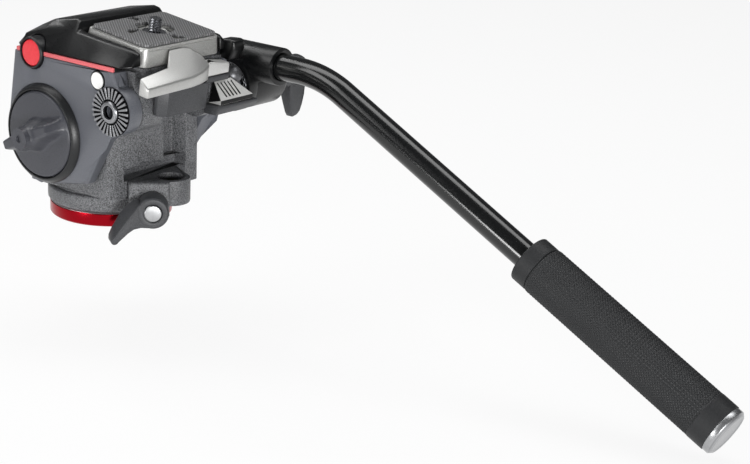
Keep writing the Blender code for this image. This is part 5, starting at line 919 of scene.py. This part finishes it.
# Bare die-cast zinc: darker and duller than the plated rosette that it meets
clamp_zinc = machined("die_cast_zinc_clamp_ring", "#8f9093", "#55565a", 0.36, "X", rosette_centre)
dress("clamp_toothed_ring", "clamp_rosette", 0.00012, clamp_zinc, "bar_mount", smooth=30, segments=1)
repaint("clamp_bolt", shaft_steel)

# Clamp knob: a hub with one drop shaped blade below it, moulded in the same glass filled nylon as the pan
# lock. It turns on the steel bolt and draws the clamp on to the rosette.

KNOB_HUB_RADIUS = 0.0078
HUB_ROUND = 0.0030
HUB_SHOULDER = 0.0009
TIP_HALF_DEPTH = 0.0018
ROOT_HALF_DEPTH = 0.0041
BLADE_TIP_Z = 0.040
BLADE_TAPER = 0.015
knob_start, knob_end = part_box("clamp_knob")
hub_length = knob_end.x - knob_start.x
hub_outline = [(0, 0), (KNOB_HUB_RADIUS, 0), (KNOB_HUB_RADIUS, hub_length - HUB_ROUND),
               (KNOB_HUB_RADIUS - HUB_SHOULDER, hub_length - HUB_SHOULDER),
               (KNOB_HUB_RADIUS - HUB_ROUND, hub_length), (0, hub_length)]
clamp_knob = turned_piece("clamp_wing_knob", hub_outline, (knob_start.x, BARREL_Y, BARREL_Z), ALONG_X, 64,
                          0.0003)
petal = [(83.6, 62.0), (84.0, 55.0), (84.8, 50.0), (85.8, 45.0), (86.6, 41.5), (87.6, 39.7), (89.5, 39.1),
         (92.5, 39.7), (94.6, 41.5), (95.6, 45.0), (96.2, 50.5), (96.2, 56.0), (95.2, 62.0)]
petal_place = Matrix(((1, 0, 0, 0), (0, 0, -1, 0), (0, 1, 0, 0), (0, 0, 0, 1)))
petal_blade = outline_prism("clamp_blade", in_metres(petal), petal_place, -BARREL_Y - ROOT_HALF_DEPTH,
                            -BARREL_Y + ROOT_HALF_DEPTH)
for vertex in petal_blade.data.vertices:
    share = min(1, max(0, (vertex.co.z - BLADE_TIP_Z) / BLADE_TAPER))
    half_depth = TIP_HALF_DEPTH + (ROOT_HALF_DEPTH - TIP_HALF_DEPTH) * share
    vertex.co.y = BARREL_Y + math.copysign(half_depth, vertex.co.y - BARREL_Y)
bevel_edges(petal_blade, 0.0009, 3, 50)
combine(clamp_knob, petal_blade, "UNION")
settle(clamp_knob, moulded_nylon, "bar_knob", "clamp_knob", 40)

# Pan bar: one length of drawn aluminium tube, bent downwards just behind the clamp and black anodised. It
# is gripped in the clamp's sleeve.

TUBE_RADIUS = 0.00642
TUBE_WALL = 0.0014
TUBE_X = 0.051
TUBE_Z = 0.0755
TUBE_START_Y = -0.0400
BEND_VERTEX_Y = -0.0915
BEND_RADIUS = 0.060
BEND_ANGLE = math.radians(27.07)
TUBE_AFTER_BEND = 0.2510
bend_reach = BEND_RADIUS * math.tan(BEND_ANGLE / 2)
bar_ahead = Vector((0, -math.cos(BEND_ANGLE), -math.sin(BEND_ANGLE)))
deselect_all()
bpy.ops.mesh.primitive_circle_add(vertices=64, radius=TUBE_RADIUS, fill_type="NOTHING",
                                  location=(TUBE_X, TUBE_START_Y, TUBE_Z), rotation=(math.pi / 2, 0, 0))
tube = bpy.context.object
tube.name = "bent_tube"
tube.data.transform(tube.matrix_world)
tube.matrix_world = Matrix.Identity(4)
edit_all()
bpy.ops.mesh.extrude_region_move(TRANSFORM_OT_translate={
    "value": (0, BEND_VERTEX_Y + bend_reach - TUBE_START_Y, 0)})
bend_centre = (TUBE_X, BEND_VERTEX_Y + bend_reach, TUBE_Z - BEND_RADIUS)
bpy.ops.mesh.spin(steps=28, angle=BEND_ANGLE, center=bend_centre, axis=(-1, 0, 0))
bpy.ops.mesh.extrude_region_move(TRANSFORM_OT_translate={"value": bar_ahead * (TUBE_AFTER_BEND - bend_reach)})
close_skin()
apply_modifier(tube, "SOLIDIFY", {"thickness": TUBE_WALL, "offset": -1, "use_rim": True})
# Black anodised tube: glossy black with long sharp reflections of the lamps down its length
anodised_tube = grained("drawn_aluminium_black_anodised", "#0e0f10", "#090a0a", 0.17, 0.0008, 0.000004,
                        specular=0.6, cloud=0.03, spread=0.03)
settle(tube, anodised_tube, "bar", "pan_bar", 40)

# Grip: thick moulded rubber pushed over the end of the tube, with a fine diamond knurl between a smooth
# collar and a smooth band.

GRIP_START = 0.1372
GRIP_LENGTH = 0.1143
GRIP_RADIUS = 0.01194
GRIP_BORE = 0.0066
COLLAR_LENGTH = 0.0080
COLLAR_RADIUS = 0.0116
NECK_RADIUS = 0.0109
KNURL_START = 0.0086
KNURL_END = 0.1053
KNURL_DEPTH = 0.00045
DIAMONDS_ROUND = 46
STEPS_PER_DIAMOND = 5
knurl_pitch = math.tau * GRIP_RADIUS / DIAMONDS_ROUND
sides = DIAMONDS_ROUND * STEPS_PER_DIAMOND
knurl_rows = int((KNURL_END - KNURL_START) / knurl_pitch * STEPS_PER_DIAMOND)
# Distance along the grip and radius of each row of points. The knurl gives its own rows their radius.
rows = [(0.0, GRIP_BORE), (0.0, 0.0110), (0.0002, 0.0114), (0.0006, COLLAR_RADIUS),
        (COLLAR_LENGTH - 0.0003, COLLAR_RADIUS), (COLLAR_LENGTH, 0.0113),
        (COLLAR_LENGTH + 0.0001, NECK_RADIUS), (KNURL_START - 0.0001, NECK_RADIUS), (KNURL_START, 0.0115)]
rows += [(KNURL_START + (KNURL_END - KNURL_START) * step / knurl_rows, None) for step in range(1, knurl_rows)]
rows += [(KNURL_END, 0.0118), (KNURL_END + 0.0003, GRIP_RADIUS), (GRIP_LENGTH - 0.0004, GRIP_RADIUS),
         (GRIP_LENGTH - 0.0001, 0.0117), (GRIP_LENGTH, 0.0114), (GRIP_LENGTH, GRIP_BORE)]
deselect_all()
bpy.ops.mesh.primitive_grid_add(x_subdivisions=sides, y_subdivisions=len(rows) - 1, size=1)
grip = bpy.context.object
grip.name = "rubber_grip"
for number, vertex in enumerate(grip.data.vertices):
    row, column = divmod(number, sides + 1)
    distance, radius = rows[row]
    if radius is None:
        along = (distance - KNURL_START) / knurl_pitch
        around = column / STEPS_PER_DIAMOND
        groove_one = abs((around + along) % 1 - 0.5) * 2
        groove_two = abs((around - along) % 1 - 0.5) * 2
        radius = GRIP_RADIUS - KNURL_DEPTH * (1 - min(groove_one, groove_two))
    turn = math.tau * column / sides
    vertex.co = (radius * math.cos(turn), radius * math.sin(turn), distance)
bpy.ops.object.mode_set(mode="EDIT")
close_skin()
bar_turn = bar_ahead.to_track_quat("Z", "Y").to_matrix().to_4x4()
bend_vertex = Vector((TUBE_X, BEND_VERTEX_Y, TUBE_Z))
grip.data.transform(Matrix.Translation(bend_vertex + bar_ahead * GRIP_START) @ bar_turn)
# Moulded rubber: matt black. The knurl is real relief, which gives it small points of light.
grip_rubber = grained("moulded_black_rubber", "#212224", "#161718", 0.55, 0.0005, 0.00003, specular=0.40)
settle(grip, grip_rubber, "bar", "grip", 25)

# Grip end cap: a shallow cap turned from aluminium with a raised rim, which closes the end of the grip. Its
# face is bare.

CAP_LENGTH = 0.0040
CAP_DISH = 0.0003
end_radius = GRIP_RADIUS - 0.0003
end_outline = [(0, 0), (end_radius, 0), (end_radius, CAP_LENGTH - 0.0014), (end_radius - 0.0014, CAP_LENGTH),
               (end_radius - 0.0021, CAP_LENGTH), (end_radius - 0.0024, CAP_LENGTH - CAP_DISH),
               (0, CAP_LENGTH - CAP_DISH)]
end_foot = bend_vertex + bar_ahead * (GRIP_START + GRIP_LENGTH)
end_cap = turned_piece("grip_end_cap", end_outline, end_foot, bar_ahead, 128, 0.00015)
# Turned aluminium: silver, with rings round the bar's own axis
end_aluminium = machined("turned_aluminium_end_cap", "#c4c5c6", "#9b9c9e", 0.34, "Y", end_foot,
                         tilt=-BEND_ANGLE)
settle(end_cap, end_aluminium, "bar", "grip_cap", 40)
